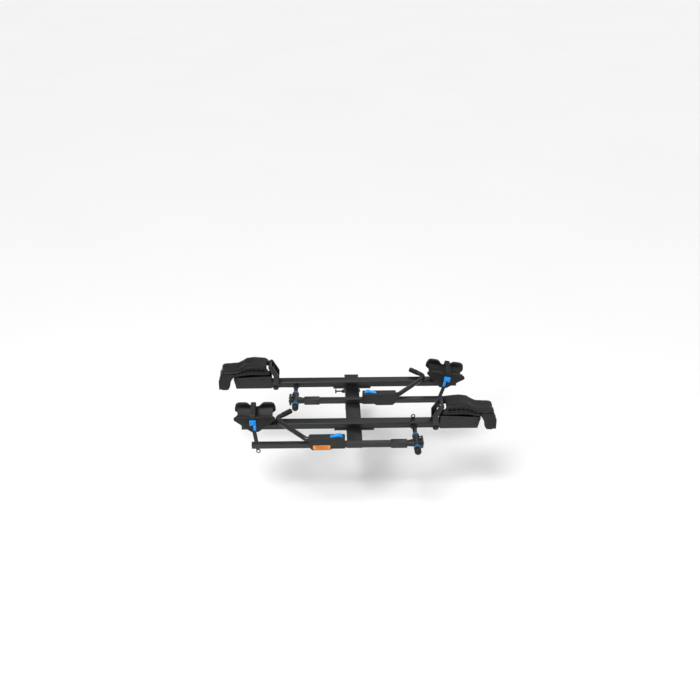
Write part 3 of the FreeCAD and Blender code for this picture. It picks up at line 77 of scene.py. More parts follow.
# ---------------------------------------------------------------- where things are, in millimetres
def node_box(node):
    """Lowest and highest corner of a frame node, in millimetres."""
    low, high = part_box(node)
    return np.array(low) / MM, np.array(high) / MM


def joint_at(name):
    """A point on a joint's axis, in millimetres."""
    return np.array(JOINTS[name]["pos_m"]) / MM


class Tray:
    """One tray's own directions: reach grows towards its front wheel holder, over towards the vehicle and
    up from the rail's underside."""

    def __init__(self, name):
        self.name = name
        low, high = node_box(name + "_rail")
        self.pivot = joint_at(name + "_arm_swing")
        self.side = math.copysign(1, self.pivot[0])
        self.rail_y = (low[1] + high[1]) / 2
        self.bottom = low[2]
        self.hinge = abs(joint_at(name + "_cradle_fold")[0])
        self.hinge_up = joint_at(name + "_cradle_fold")[2] - self.bottom
        self.hoop = abs(joint_at(name + "_hoop_swing")[0])
        self.hoop_up = joint_at(name + "_hoop_swing")[2] - self.bottom
        tube_low, tube_high = node_box(name + "_arm_tube")
        self.arm_y, self.arm_z = (tube_low[1:] + tube_high[1:]) / 2
        self.arm_half = (tube_high[2] - tube_low[2]) / 2
        self.rock = joint_at(name + "_rear_rock")
        axis = JOINTS[name + "_lever_open"]["axis"]
        self.tilt = math.atan2(axis[2], -axis[0])

    def box(self, part):
        """Lowest and highest corner of one of the tray's frame nodes, in millimetres."""
        return node_box(self.name + "_" + part)

    def finish(self, part, piece, body, slot, *nodes):
        """Finish one of the tray's pieces: part, body and nodes are named without the tray."""
        part, body, *nodes = (self.name + "_" + word for word in (part, body, *nodes))
        return finished(part, piece, body, slot, nodes)

    def front(self, reach, over, up):
        """Points of the front wheel holder, by reach from the middle."""
        reach, over, up = np.broadcast_arrays(reach, over, up)
        return np.stack([self.side * reach, self.rail_y + over, self.bottom + up], -1)

    def hinged(self, past, over, up):
        """Points of the front cradle, by distance past its hinge."""
        return self.front(self.hinge + np.asarray(past, float), over, up)

    def arm(self, distance, over, up):
        """Points of the folded arm: distance from its pivot, and over and up from the tube's middle."""
        distance, over, up = np.broadcast_arrays(distance, over, up)
        return np.stack([self.pivot[0] - self.side * distance, self.arm_y + over, self.arm_z + up], -1)

    def rear(self, shift, over, up):
        """Points of the rear cradle: shift outboard of its middle, turned about its rocking pin."""
        shift, over, up = np.broadcast_arrays(shift, over, up)
        x = -self.side * shift
        z = self.bottom + up - self.rock[2]
        cos, sin = math.cos(self.tilt), math.sin(self.tilt)
        return np.stack([self.rock[0] + x * cos + z * sin, self.rail_y + over,
                         self.rock[2] - x * sin + z * cos], -1)

    def rear_outboard(self):
        """The direction in which the rear cradle's shift grows."""
        return self.rear(1.0, 0.0, 0.0) - self.rear(0.0, 0.0, 0.0)


# ---------------------------------------------------------------- surfaces
def grid_quads(rows, columns, around):
    """Quads between neighbouring points of a grid of rows by columns; around joins the last column to the
    first."""
    last = columns if around else columns - 1
    row, column = np.meshgrid(np.arange(rows - 1), np.arange(last), indexing="ij")
    following = (column + 1) % columns
    corners = [row * columns + column, row * columns + following,
               (row + 1) * columns + following, (row + 1) * columns + column]
    return np.stack([corner.ravel() for corner in corners], 1)


def signed_volume(points, faces):
    """Six times the volume inside closed faces: the sum of each corner fan's triple product."""
    total = 0.0
    for face in faces:
        corner = points[np.asarray(face)]
        total += np.einsum("ij,ij->i", np.cross(corner[1:-1], corner[2:]),
                           np.broadcast_to(corner[0], corner[2:].shape)).sum()
    return total


class Piece:
    """Closed shapes gathered into one mesh."""

    def __init__(self):
        self.points = []
        self.faces = []
        self.count = 0

    def add_faces(self, points, faces):
        """Keep closed faces, all turned outwards."""
        if signed_volume(points - points.mean(0), faces) < 0:
            faces = [list(face)[::-1] for face in faces]
        self.points.append(points)
        self.faces += [[int(corner) + self.count for corner in face] for face in faces]
        self.count += len(points)
        return self

    def add(self, grid):
        """A tube of rings, closed around each ring and capped at both ends."""
        rows, columns = grid.shape[:2]
        faces = grid_quads(rows, columns, True).tolist()
        faces += [list(range(columns)), list(range((rows - 1) * columns, rows * columns))]
        return self.add_faces(grid.reshape(-1, 3), faces)

    def add_ring(self, grid):
        """A tube whose last ring meets its first, such as a torus."""
        rows, columns = grid.shape[:2]
        faces = grid_quads(rows + 1, columns, True) % (rows * columns)
        return self.add_faces(grid.reshape(-1, 3), faces.tolist())

    def add_shell(self, grid, thickness):
        """A sheet of that thickness: the grid and its copy moved along the normals, joined round the rim."""
        along = np.gradient(grid, axis=0)
        across = np.gradient(grid, axis=1)
        normal = np.cross(along, across)
        normal /= np.maximum(np.linalg.norm(normal, axis=-1, keepdims=True), 1e-9)
        rows, columns = grid.shape[:2]
        size = rows * columns
        half = normal * thickness / 2
        points = np.concatenate([(grid + half).reshape(-1, 3), (grid - half).reshape(-1, 3)])
        top = grid_quads(rows, columns, False)
        number = np.arange(size).reshape(rows, columns)
        rim = np.concatenate([number[0], number[1:, -1], number[-1, -2::-1], number[-2:0:-1, 0]])
        following = np.roll(rim, -1)
        side = np.stack([rim, rim + size, following + size, following], 1)
        faces = np.concatenate([top, top[:, ::-1] + size, side])
        return self.add_faces(points, faces.tolist())

    def bar(self, *shape):
        """Add what carried makes."""
        return self.add(carried(*shape))

    def turn(self, *shape):
        """Add what turned makes."""
        return self.add(turned(*shape))

    def plate(self, *shape):
        """Add what prism makes."""
        return self.add(prism(*shape))

    def plates(self, outline, near, far, edge, to_points):
        """Add two equal plates, each from near to far on its own side of the middle."""
        for low, high in ((-far, -near), (near, far)):
            self.plate(outline, low, high, edge, to_points)


def rounded_line(corners, radii, closed=False, steps=6):
    """A polyline whose corners become arcs: at each corner the arc touches both sides, and its radius is
    cut to 0.45 of the shorter side."""
    corners = np.asarray(corners, float)
    radii = np.broadcast_to(np.asarray(radii, float), len(corners))
    line = [] if closed else [corners[:1]]
    inner = range(len(corners)) if closed else range(1, len(corners) - 1)
    for number in inner:
        corner = corners[number]
        before = corners[number - 1] - corner
        after = corners[(number + 1) % len(corners)] - corner
        shorter = min(np.linalg.norm(before), np.linalg.norm(after))
        before, after = before / np.linalg.norm(before), after / np.linalg.norm(after)
        turn = math.pi - math.acos(np.clip(before @ after, -1, 1))
        if turn < 0.02:
            line.append(corner[None])
            continue
        reach = min(radii[number] * math.tan(turn / 2), 0.45 * shorter)
        radius = reach / math.tan(turn / 2)
        bisector = (before + after) / np.linalg.norm(before + after)
        centre = corner + bisector * radius / math.cos(turn / 2)
        first = corner + before * reach - centre
        last = corner + after * reach - centre
        share = np.linspace(0, 1, steps + 1)[:, None]
        arc = (np.sin((1 - share) * turn) * first + np.sin(share * turn) * last) / math.sin(turn)
        line.append(centre + arc)
    if not closed:
        line.append(corners[-1:])
    return np.concatenate(line)


def rounded_loop(corners, radii):
    """A closed outline whose corners become arcs."""
    return rounded_line(corners, radii, closed=True)


def resampled(line, spacing):
    """The same line with points at even steps of its length."""
    step = np.linalg.norm(np.diff(line, axis=0), axis=1)
    length = np.concatenate([[0], np.cumsum(step)])
    count = max(int(length[-1] / spacing), 2)
    wanted = np.linspace(0, length[-1], count + 1)
    return np.stack([np.interp(wanted, length, line[:, axis]) for axis in range(line.shape[1])], 1)


def rounded_section(half_wide, half_tall, radius, steps=4):
    """A rectangle with four quarter-circle corners, for each of many sizes: (sizes, points, 2)."""
    half_wide, half_tall, radius = np.broadcast_arrays(half_wide, half_tall, radius)
    radius = np.minimum(radius, np.minimum(half_wide, half_tall) * 0.999)
    turn = np.linspace(0, math.pi / 2, steps + 1)
    parts = []
    for quarter, (right, top) in enumerate(((1, 1), (-1, 1), (-1, -1), (1, -1))):
        angle = turn + quarter * math.pi / 2
        parts.append(np.stack([right * (half_wide - radius)[:, None] + radius[:, None] * np.cos(angle),
                               top * (half_tall - radius)[:, None] + radius[:, None] * np.sin(angle)], -1))
    return np.concatenate(parts, 1)


def carried(path, wide, half_wide, half_tall, radius, round_ends=0.0, closed=False):
    """A rounded rectangle carried along a path. Its wide side follows the direction wide, made square to
    the path, and its tall side is square to both. Over the length round_ends at each end it narrows by as
    much, along a quarter circle: the first rings run back to the narrow start before they go on, and the
    last ones widen from their narrowest to full size."""
    path = np.asarray(path, float)
    along = np.roll(path, -1, 0) - np.roll(path, 1, 0) if closed else np.gradient(path, axis=0)
    along /= np.linalg.norm(along, axis=1, keepdims=True)
    count = len(path)
    half_wide = np.broadcast_to(np.asarray(half_wide, float), count)
    half_tall = np.broadcast_to(np.asarray(half_tall, float), count)
    shrink = np.zeros(count)
    if round_ends and not closed:
        angle = np.linspace(0, math.pi / 2, 5)
        drawn = round_ends * (1 - np.cos(angle))
        back = round_ends * (1 - np.sin(angle))[:, None]
        path = np.concatenate([path[0] + along[0] * back, path[1:-1], path[-1] - along[-1] * back])
        shrink = np.concatenate([drawn, shrink[1:-1], drawn[::-1]])
        number = np.r_[[0] * 5, 1:count - 1, [count - 1] * 5]
        along, half_wide, half_tall = along[number], half_wide[number], half_tall[number]
    wide = np.broadcast_to(np.asarray(wide, float), path.shape)
    tall = np.cross(along, wide)
    tall /= np.linalg.norm(tall, axis=1, keepdims=True)
    wide = np.cross(tall, along)
    section = rounded_section(half_wide - shrink, half_tall - shrink, radius)
    return path[:, None] + section[..., :1] * wide[:, None] + section[..., 1:] * tall[:, None]


def prism(outline, low, high, edge, to_points, steps=4):
    """A closed outline stretched from low to high, its rims rounded by a quarter circle: near each end the
    outline moves inwards along its own normals by edge times one minus the sine. to_points takes the
    outline's first value, the level and the outline's second value."""
    following = np.roll(outline, -1, 0) - outline
    before = outline - np.roll(outline, 1, 0)
    following /= np.maximum(np.linalg.norm(following, axis=1, keepdims=True), 1e-9)
    before /= np.maximum(np.linalg.norm(before, axis=1, keepdims=True), 1e-9)
    tangent = following + before
    tangent /= np.maximum(np.linalg.norm(tangent, axis=1, keepdims=True), 1e-9)
    normal = np.stack([-tangent[:, 1], tangent[:, 0]], 1)
    area = np.sum(outline[:, 0] * np.roll(outline[:, 1], -1) - outline[:, 1] * np.roll(outline[:, 0], -1))
    normal *= math.copysign(1, area)
    angle = np.linspace(0, math.pi / 2, steps + 1)
    inset = edge * (1 - np.sin(angle))
    depth = edge * (1 - np.cos(angle))
    levels = np.concatenate([low + depth, high - depth[::-1]])
    insets = np.concatenate([inset, inset[::-1]])
    rings = outline[None] + normal[None] * insets[:, None, None]
    return to_points(rings[..., 0], np.broadcast_to(levels[:, None], rings.shape[:2]), rings[..., 1])


def turned(start, along, profile, around=48):
    """A turned piece: at each distance along its axis, a circle of the profile's radius."""
    profile = np.asarray(profile, float)
    along = np.asarray(along, float) / np.linalg.norm(along)
    first = np.cross(along, (0.0, 0.0, 1.0) if abs(along[2]) < 0.9 else (1.0, 0.0, 0.0))
    first /= np.linalg.norm(first)
    second = np.cross(along, first)
    angle = np.linspace(0, 2 * math.pi, around, endpoint=False)
    circle = np.cos(angle)[:, None] * first + np.sin(angle)[:, None] * second
    centre = np.asarray(start, float) + profile[:, :1] * along
    return centre[:, None] + np.maximum(profile[:, 1], 0.05)[:, None, None] * circle[None]


def domed(radius, length, edge, grooves=(), depth=0.6):
    """A turned profile: flat foot, rounded far rim, and shallow grooves at the given distances."""
    angle = np.linspace(0, math.pi / 2, 6)
    knots = [(0, radius - edge * 0.4), (edge * 0.4, radius)]
    for groove in grooves:
        knots += [(groove - 1, radius), (groove - 0.6, radius - depth), (groove + 0.6, radius - depth),
                  (groove + 1, radius)]
    knots += [(length - edge + edge * math.sin(turn),
               radius - edge + edge * math.cos(turn)) for turn in angle]
    return knots


def finished(name, piece, body, slot, replaced=()):
    """Turn gathered shapes into an object that rides on a body and stands for frame nodes."""
    mesh = bpy.data.meshes.new(name)
    mesh.from_pydata((np.concatenate(piece.points) * MM).tolist(), [], piece.faces)
    mesh.validate()
    mesh.polygons.foreach_set("use_smooth", np.ones(len(mesh.polygons), bool))
    mesh.set_sharp_from_angle(angle=SHARP_ANGLE)
    mesh.materials.append(finish_of(slot))
    made = bpy.data.objects.new(name, mesh)
    bpy.context.scene.collection.objects.link(made)
    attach(made, body)
    if replaced:
        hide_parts(*replaced)
    return made


# ---------------------------------------------------------------- materials
def set_inputs(node, **values):
    """Set a node's inputs by name, with underscores for the spaces."""
    for name, value in values.items():
        node.inputs[name.replace("_", " ")].default_value = value


def new_material(name):
    """A new material with its nodes, its links and its principled shader."""
    material = bpy.data.materials.new(name)
    material.use_nodes = True
    nodes = material.node_tree.nodes
    return material, nodes, material.node_tree.links, nodes["Principled BSDF"]


def surface_finish(name, colour, rough, grain, depth, wear, metallic, coat, cells):
    """A finish with cloudy colour variation, uneven roughness, a fine surface grain and pale worn edges.
    grain is the size of a grain in millimetres, and depth how far it stands out."""
    material, nodes, links, shader = new_material(name)
    set_inputs(shader, Metallic=metallic, Coat_Weight=coat, Specular_IOR_Level=0.36)
    place = nodes.new("ShaderNodeTexCoord")
    cloud = nodes.new("ShaderNodeTexNoise")
    set_inputs(cloud, Scale=22.0, Detail=5.0)
    links.new(place.outputs["Object"], cloud.inputs["Vector"])
    shade = nodes.new("ShaderNodeValToRGB")
    dark, light = shade.color_ramp.elements
    dark.position, light.position = 0.32, 0.72
    dark.color = (*[channel * 0.78 for channel in colour], 1)
    light.color = (*[min(channel * 1.3, 1) for channel in colour], 1)
    links.new(cloud.outputs["Fac"], shade.inputs["Fac"])
    result = shade.outputs["Color"]
    if wear:
        edges = nodes.new("ShaderNodeNewGeometry")
        ramp = nodes.new("ShaderNodeMapRange")
        set_inputs(ramp, From_Min=0.52, From_Max=0.64, To_Max=wear)
        links.new(edges.outputs["Pointiness"], ramp.inputs["Value"])
        mix = nodes.new("ShaderNodeMix")
        mix.data_type = "RGBA"
        mix.inputs["B"].default_value = (*[min(channel * 2.2 + 0.012, 1) for channel in colour], 1)
        links.new(ramp.outputs["Result"], mix.inputs["Factor"])
        links.new(result, mix.inputs["A"])
        result = mix.outputs["Result"]
    links.new(result, shader.inputs["Base Color"])
    texture = nodes.new("ShaderNodeTexVoronoi" if cells else "ShaderNodeTexNoise")
    set_inputs(texture, Scale=1 / (grain * MM))
    links.new(place.outputs["Object"], texture.inputs["Vector"])
    height = texture.outputs["Distance" if cells else "Fac"]
    uneven = nodes.new("ShaderNodeMapRange")
    set_inputs(uneven, To_Min=rough - 0.06, To_Max=rough + 0.08)
    links.new(cloud.outputs["Fac"], uneven.inputs["Value"])
    links.new(uneven.outputs["Result"], shader.inputs["Roughness"])
    bump = nodes.new("ShaderNodeBump")
    set_inputs(bump, Strength=0.5, Distance=depth * MM)
    links.new(height, bump.inputs["Height"])
    links.new(bump.outputs["Normal"], shader.inputs["Normal"])
    return material


FINISHES = {
    # slot: colour property, roughness, grain, depth, wear, metallic, coat, cells
    "black_frame": ("powder", 0.42, 1.2, 0.10, 0.5, 0.0, 0.15, False),
    "black_arm": ("arm", 0.36, 1.2, 0.08, 0.5, 0.0, 0.2, False),
    "black_plastic": ("plastic", 0.5, 0.9, 0.14, 0.35, 0.0, 0.0, True),
    "handle_plastic": ("handle", 0.52, 1.0, 0.18, 0.4, 0.0, 0.0, True),
    "strap_rubber": ("strap", 0.48, 0.6, 0.05, 0.3, 0.0, 0.0, False),
    "black_rubber": ("rubber", 0.66, 0.7, 0.12, 0.2, 0.0, 0.0, False),
    "blue_plastic": ("blue", 0.3, 1.6, 0.03, 0.25, 0.0, 0.25, False),
    "blue_bush": ("bush", 0.4, 1.2, 0.04, 0.3, 0.0, 0.0, False),
    "black_bolt": ("bolt", 0.34, 0.5, 0.03, 0.6, 0.85, 0.0, False),
    "label_orange": ("label", 0.35, 2.0, 0.02, 0.0, 0.0, 0.3, False),
}
MATERIALS = {}


def finish_of(slot):
    """The material of a record slot, made once."""
    if slot not in MATERIALS:
        colour, *figures = FINISHES[slot]
        MATERIALS[slot] = surface_finish(slot, getattr(bpy.context.scene.rack_colours, colour), *figures)
    return MATERIALS[slot]


def trays():
    """Both trays, the inner one first."""
    return [Tray("inner"), Tray("outer")]


# ---------------------------------------------------------------- settings
def colour_of(title, words, red, green, blue):
    """A colour property."""
    return FloatVectorProperty(name=title, description=words, subtype="COLOR", size=3, min=0, max=1,
                               default=(red, green, blue))


def length_of(title, words, size):
    """A size property, never below zero."""
    return FloatProperty(name=title, description=words, default=size, min=0)


class RackColours(bpy.types.PropertyGroup):
    """Base colours of the finishes."""
    powder: colour_of("Frame", "Powder coat of spine and rails", 0.0060, 0.0062, 0.0070)
    arm: colour_of("Arms", "Powder coat of arms and hooks", 0.0085, 0.0088, 0.0100)
    plastic: colour_of("Mouldings", "Wheel holders and caps", 0.0052, 0.0052, 0.0056)
    handle: colour_of("Handles", "Sliding handle boxes", 0.013, 0.0133, 0.0142)
    strap: colour_of("Straps", "Ladder straps", 0.012, 0.0125, 0.0138)
    rubber: colour_of("Rubber", "Hook pads", 0.007, 0.007, 0.0074)
    blue: colour_of("Levers", "Triggers, buckles and levers", 0.0, 0.30, 0.95)
    bush: colour_of("Bushes", "Bearing rings", 0.015, 0.14, 0.3)
    bolt: colour_of("Fasteners", "Bolts and pins", 0.035, 0.035, 0.038)
    label: colour_of("Label", "Patch on the outer handle", 0.95, 0.24, 0.01)


class RackSizes(bpy.types.PropertyGroup):
    """Sizes in millimetres and degrees that the frame doesn't hold."""
    rim: length_of("Rim", "Half width of a moulded rim, mm", 3.2)
    rib_spacing: length_of("Rib spacing", "Between ribs of a front cradle, mm", 22.0)
    rung_spacing: length_of("Rung spacing", "Between rungs of a ladder strap, mm", 5.5)
    lobe_rise: length_of("Lobe rise", "Height of the rear cradle's lobes, mm", 24.0)
    hook_first_turn: length_of("Hook's first turn", "Degrees", 45.0)
    hook_second_turn: length_of("Hook's second turn", "Degrees", 96.0)
    hook_exit: length_of("Hook exit", "First bend's corner beyond the handle, mm", 13.0)
    hook_tip: length_of("Hook tip", "Hook beyond its second bend, mm", 99.0)
    hook_bend: length_of("Hook bend", "Radius of the hook's bends, mm", 30.0)
    hook_lift: length_of("Hook lift", "Rise of the hook's plane, degrees", 3.0)
    clearance: length_of("Ground clearance", "Floor below the hitch, clear of the tilted rack, mm", 190.0)
    trigger_ridges: IntProperty(name="Trigger ridges", description="Ridges on a trigger", default=5)


# ---------------------------------------------------------------- pieces
class RACK_OT_frame(bpy.types.Operator):
    """Give the frame nodes their finish and a small bevel on every sharp edge"""
    bl_idname = "rack.frame"
    bl_label = "Frame finishes"

    def execute(self, context):
        slots = {part["node"]: part["material_slot"] for part in frame["record"]["subparts"]}
        for node, made in frame["nodes"].items():
            made.data.materials.clear()
            made.data.materials.append(finish_of(slots[node]))
            made.data.polygons.foreach_set("use_smooth", np.ones(len(made.data.polygons), bool))
            weld = made.modifiers.new("weld", "WELD")
            weld.merge_threshold = 0.02 * MM
            bevel = made.modifiers.new("bevel", "BEVEL")
            bevel.width = 0.5 * MM
            bevel.segments = 2
            bevel.limit_method = "ANGLE"
            bevel.angle_limit = math.radians(40)
            bevel.harden_normals = True
        return {"FINISHED"}


CRADLE_TOP = ((-166, 134), (-162, 148), (-138, 151), (-94, 155), (-56, 149), (-36, 134), (-8, 119),
              (44, 118), (72, 116), (77, 84), (87, 72), (88, 8))
CRADLE_UNDER = ((-166, 98), (-78, 100), (-6, 92), (16, 80), (30, 54), (36, 22), (46, 4))
CRADLE_HALF = 50.0


class RACK_OT_front_cradles(bpy.types.Operator):
    """Mould the front wheel cradles: an arched skin over ribbed, windowed sides, with a foot"""
    bl_idname = "rack.front_cradles"
    bl_label = "Front wheel cradles"

    def execute(self, context):
        sizes = context.scene.rack_sizes
        top = resampled(rounded_line(CRADLE_TOP, 16), 4)
        under = resampled(rounded_line(CRADLE_UNDER, 22), 4)
        for tray in trays():
            piece = Piece()
            self.add_skin(piece, tray, top)
            for over in (-1, 1):
                self.add_side(piece, tray, top, under, over, sizes)
            self.add_foot(piece, tray)
            self.add_mouth(piece, tray)
            self.add_ears(piece, tray)
            tray.finish("cradle_moulding", piece, "front_cradle", "black_plastic", "front_cradle")
        return {"FINISHED"}

    def add_skin(self, piece, tray, top):
        """The skin lies inside the top line, along the line's own normals: it drops by the sixth power of
        the distance from its middle, and a shallow squared cosine trough runs along it for the tyre."""
        across = np.linspace(-1, 1, 33)
        drop = 2 + 5.0 * across ** 6 + 2.2 * np.cos(np.clip(across / 0.5, -1, 1) * math.pi / 2) ** 2
        along = np.gradient(top, axis=0)
        along /= np.linalg.norm(along, axis=1, keepdims=True)
        inward = np.stack([along[:, 1], -along[:, 0]], 1)
        line = top[:, None] + drop[None, :, None] * inward[:, None]
        piece.add_shell(tray.hinged(line[..., 0], CRADLE_HALF * across, line[..., 1]), 3.6)
        for over in (-26.0, 26.0):
            bead = top[3:-8]
            piece.bar(tray.hinged(bead[:, 0], over, bead[:, 1] - 1.0), (0, 1, 0), 2.2, 1.4, 1.2, 1.2)

    def add_side(self, piece, tray, top, under, over, sizes):
        """A side: rims along both edges, sheets inside them with a recessed one in the windows, and ribs."""
        face = over * (CRADLE_HALF - sizes.rim)
        piece.bar(tray.hinged(under[:, 0], face, under[:, 1] + 4), (0, 1, 0), sizes.rim, 4.2, 2.2, 2)
        rim = top[:-2]
        piece.bar(tray.hinged(rim[:, 0], face, rim[:, 1] - 8), (0, 1, 0), sizes.rim - 0.6, 3.4, 1.8, 1.5)
        arch = top[(top[:, 0] < 26) & (np.arange(len(top)) < len(top) - 24)]
        past = np.linspace(-160, 22, 60)
        low = np.interp(past, under[:, 0], under[:, 1])
        high = np.interp(past, arch[:, 0], arch[:, 1])
        for first, last, inset in ((0.05, 0.36, 5.0), (0.68, 0.97, 5.0), (0.3, 0.75, 12.0)):
            share = np.linspace(first, last, 6)
            up = low[:, None] * (1 - share) + high[:, None] * share
            piece.add_shell(tray.hinged(past[:, None], over * (CRADLE_HALF - inset), up), 2.4)
        for rib in np.arange(-160, 24, sizes.rib_spacing):
            foot, head = np.interp(rib, past, low), np.interp(rib, past, high)
            path = tray.hinged(np.full(9, rib), face, np.linspace(foot + 3, head - 7, 9))
            piece.bar(path, (0, 1, 0), sizes.rim - 0.4, 1.8, 1.0)

    def add_foot(self, piece, tray):
        """Two side plates below the hinge, tied and trimmed by small ridges."""
        outline = rounded_loop([(30, 60), (37, 22), (45, 4), (74, 4), (87, 20), (86, 70), (74, 82),
                                (66, 100), (14, 100), (18, 84)], 9)
        piece.plates(outline, 44, 49.4, 2, tray.hinged)
        for over in np.linspace(-36, 36, 5):
            path = tray.hinged(np.full(8, 86.6), over, np.linspace(18, 66, 8))
            piece.bar(path, (0, 1, 0), 2.4, 1.8, 1.0, 1.2)
        for up in (30, 44, 58):
            for over in (-49.3, 49.3):
                path = tray.hinged(np.linspace(48, 78, 8), over, up)
                piece.bar(path, (0, 1, 0), 1.6, 2.4, 1.2, 1.2)

    def add_mouth(self, piece, tray):
        """Two arches round the open inboard end, and a row of small round teeth over it."""
        for past, half, top_up, size in ((-162, 46, 141, 3.4), (-138, 40, 142, 2.4)):
            arch = rounded_line([(-half, 100), (-half, top_up - 4), (half, top_up - 4), (half, 100)], 26,
                                steps=12)
            arch = resampled(arch, 4)
            piece.bar(tray.hinged(np.full(len(arch), past), arch[:, 0], arch[:, 1]), (1, 0, 0), size, size,
                      1.6, 1.5)
        cheek = rounded_loop([(-156, 98), (-184, 98), (-176, 121), (-167, 139), (-156, 139)],
                             (2, 6, 12, 4, 2))
        piece.plates(cheek, 43.6, 48.6, 1.6, tray.hinged)
        for over in np.linspace(-34, 34, 7):
            piece.turn(tray.hinged(-165, over, 147), (tray.side, 0, 0),
                       [(0, 2.0), (1, 3.2), (12, 3.4), (15, 2.6), (16, 1.2)], 20)

    def add_ears(self, piece, tray):
        """Two eyes that hold the hinge pin."""
        eye = np.linspace(math.radians(200), math.radians(340), 12)
        outline = np.concatenate([np.stack([9 * np.cos(eye), tray.hinge_up + 9 * np.sin(eye)], 1),
                                  [(22, 114), (-16, 116)]])
        piece.plates(outline, 18, 24, 1.0, tray.hinged)


class RACK_OT_hoops(bpy.types.Operator):
    """Mould the swinging hoops beside the troughs"""
    bl_idname = "rack.hoops"
    bl_label = "Hoops"

    def execute(self, context):
        for tray in trays():
            piece = Piece()
            up = tray.hoop_up
            outline = rounded_loop([(-16, up), (-20, 78), (16, 144), (40, 138), (9, 78), (16, up),
                                    (8, up - 13), (-8, up - 13)], 12)
            low, high = tray.box("hoop")
            half = (high[1] - low[1]) / 2
            leg = 10.0

            def place(past, over, height):
                return tray.front(tray.hoop + past, over, height)

            for over in (-1, 1):
                low, high = sorted((over * (half - leg), over * half))
                piece.plate(outline, low, high, 2.6, place)
                start = tray.front(tray.hoop, over * (half - leg), up)
                piece.turn(start, (0, over, 0), domed(16, leg, 2.0), 64)
                groove = rounded_loop([(-10, 34), (-13, 74), (17, 132), (27, 128), (2, 74), (8, 34)], 6)
                low, high = sorted((over * (half - 0.6), over * (half + 0.8)))
                piece.plate(groove, low, high, 0.6, place)
            bar = tray.front(np.full(12, tray.hoop + 27.0), np.linspace(-half + 6, half - 6, 12), 132.0)
            piece.bar(bar, (1, 0, 0), 9, 6, 4)
            web = tray.front(np.full(12, tray.hoop + 15.0), np.linspace(-half + 6, half - 6, 12), 112.0)
            piece.bar(web, (1, 0, 0), 5, 4, 3)
            tray.finish("hoop_moulding", piece, "hoop", "black_arm", "hoop")
        return {"FINISHED"}


class RACK_OT_troughs(bpy.types.Operator):
    """Fold the troughs from sheet: a U section whose side walls fall gently to a slanted outboard end"""
    bl_idname = "rack.troughs"
    bl_label = "Troughs"

    def execute(self, context):
        for tray in trays():
            low, high = tray.box("trough")
            half = (high[1] - low[1]) / 2
            near, far = sorted((abs(low[0]), abs(high[0])))
            wall, bend = 3.0, 5.0
            base = low[2] - tray.bottom + wall / 2
            side = half - wall / 2
            along = np.linspace(0, 1, 50)[:, None]
            rim = 74 - 12 * along ** 1.8
            turn = np.linspace(0, math.pi / 2, 7)
            rise = np.linspace(1, 0, 10)[:-1]
            wall_up = base + bend + rise * (rim - base - bend)
            bend_over = -(side - bend) - bend * np.cos(turn)
            bend_up = base + bend - bend * np.sin(turn)
            floor = np.linspace(-(side - bend), 0, 6)[1:]
            left_over = np.concatenate([np.full(9, -side), bend_over, floor])
            left_up = np.concatenate([wall_up, np.broadcast_to(bend_up, (50, 7)),
                                      np.full((50, 5), base)], 1)
            over = np.concatenate([left_over, -left_over[-2::-1]])
            up = np.concatenate([left_up, left_up[:, -2::-1]], 1)
            slant = 13 * (1 - np.clip(up / rim, 0, 1))
            reach = near + along * (far - near - slant)
            piece = Piece().add_shell(tray.front(reach, over[None], up), wall)
            for sign in (-1, 1):
                lip = tray.front(reach[:, 0], sign * (half - 1.6), rim[:, 0] + 0.4)
                piece.bar(lip, (0, 1, 0), 1.7, 1.7, 1.6, 1.0)
                # a long pressed panel stiffens each wall
                panel = rounded_loop([(near + 20, 12), (far - 32, 12), (far - 24, 48), (near + 20, 60)], 8)
                first, last = sorted((sign * (half - 0.4), sign * (half + 0.5)))
                piece.plate(panel, first, last, 0.4, tray.front)
            finished(tray.name + "_trough_sheet", piece, "spine", "black_frame", [tray.name + "_trough"])
        return {"FINISHED"}


NECK_LENGTH = 49.5


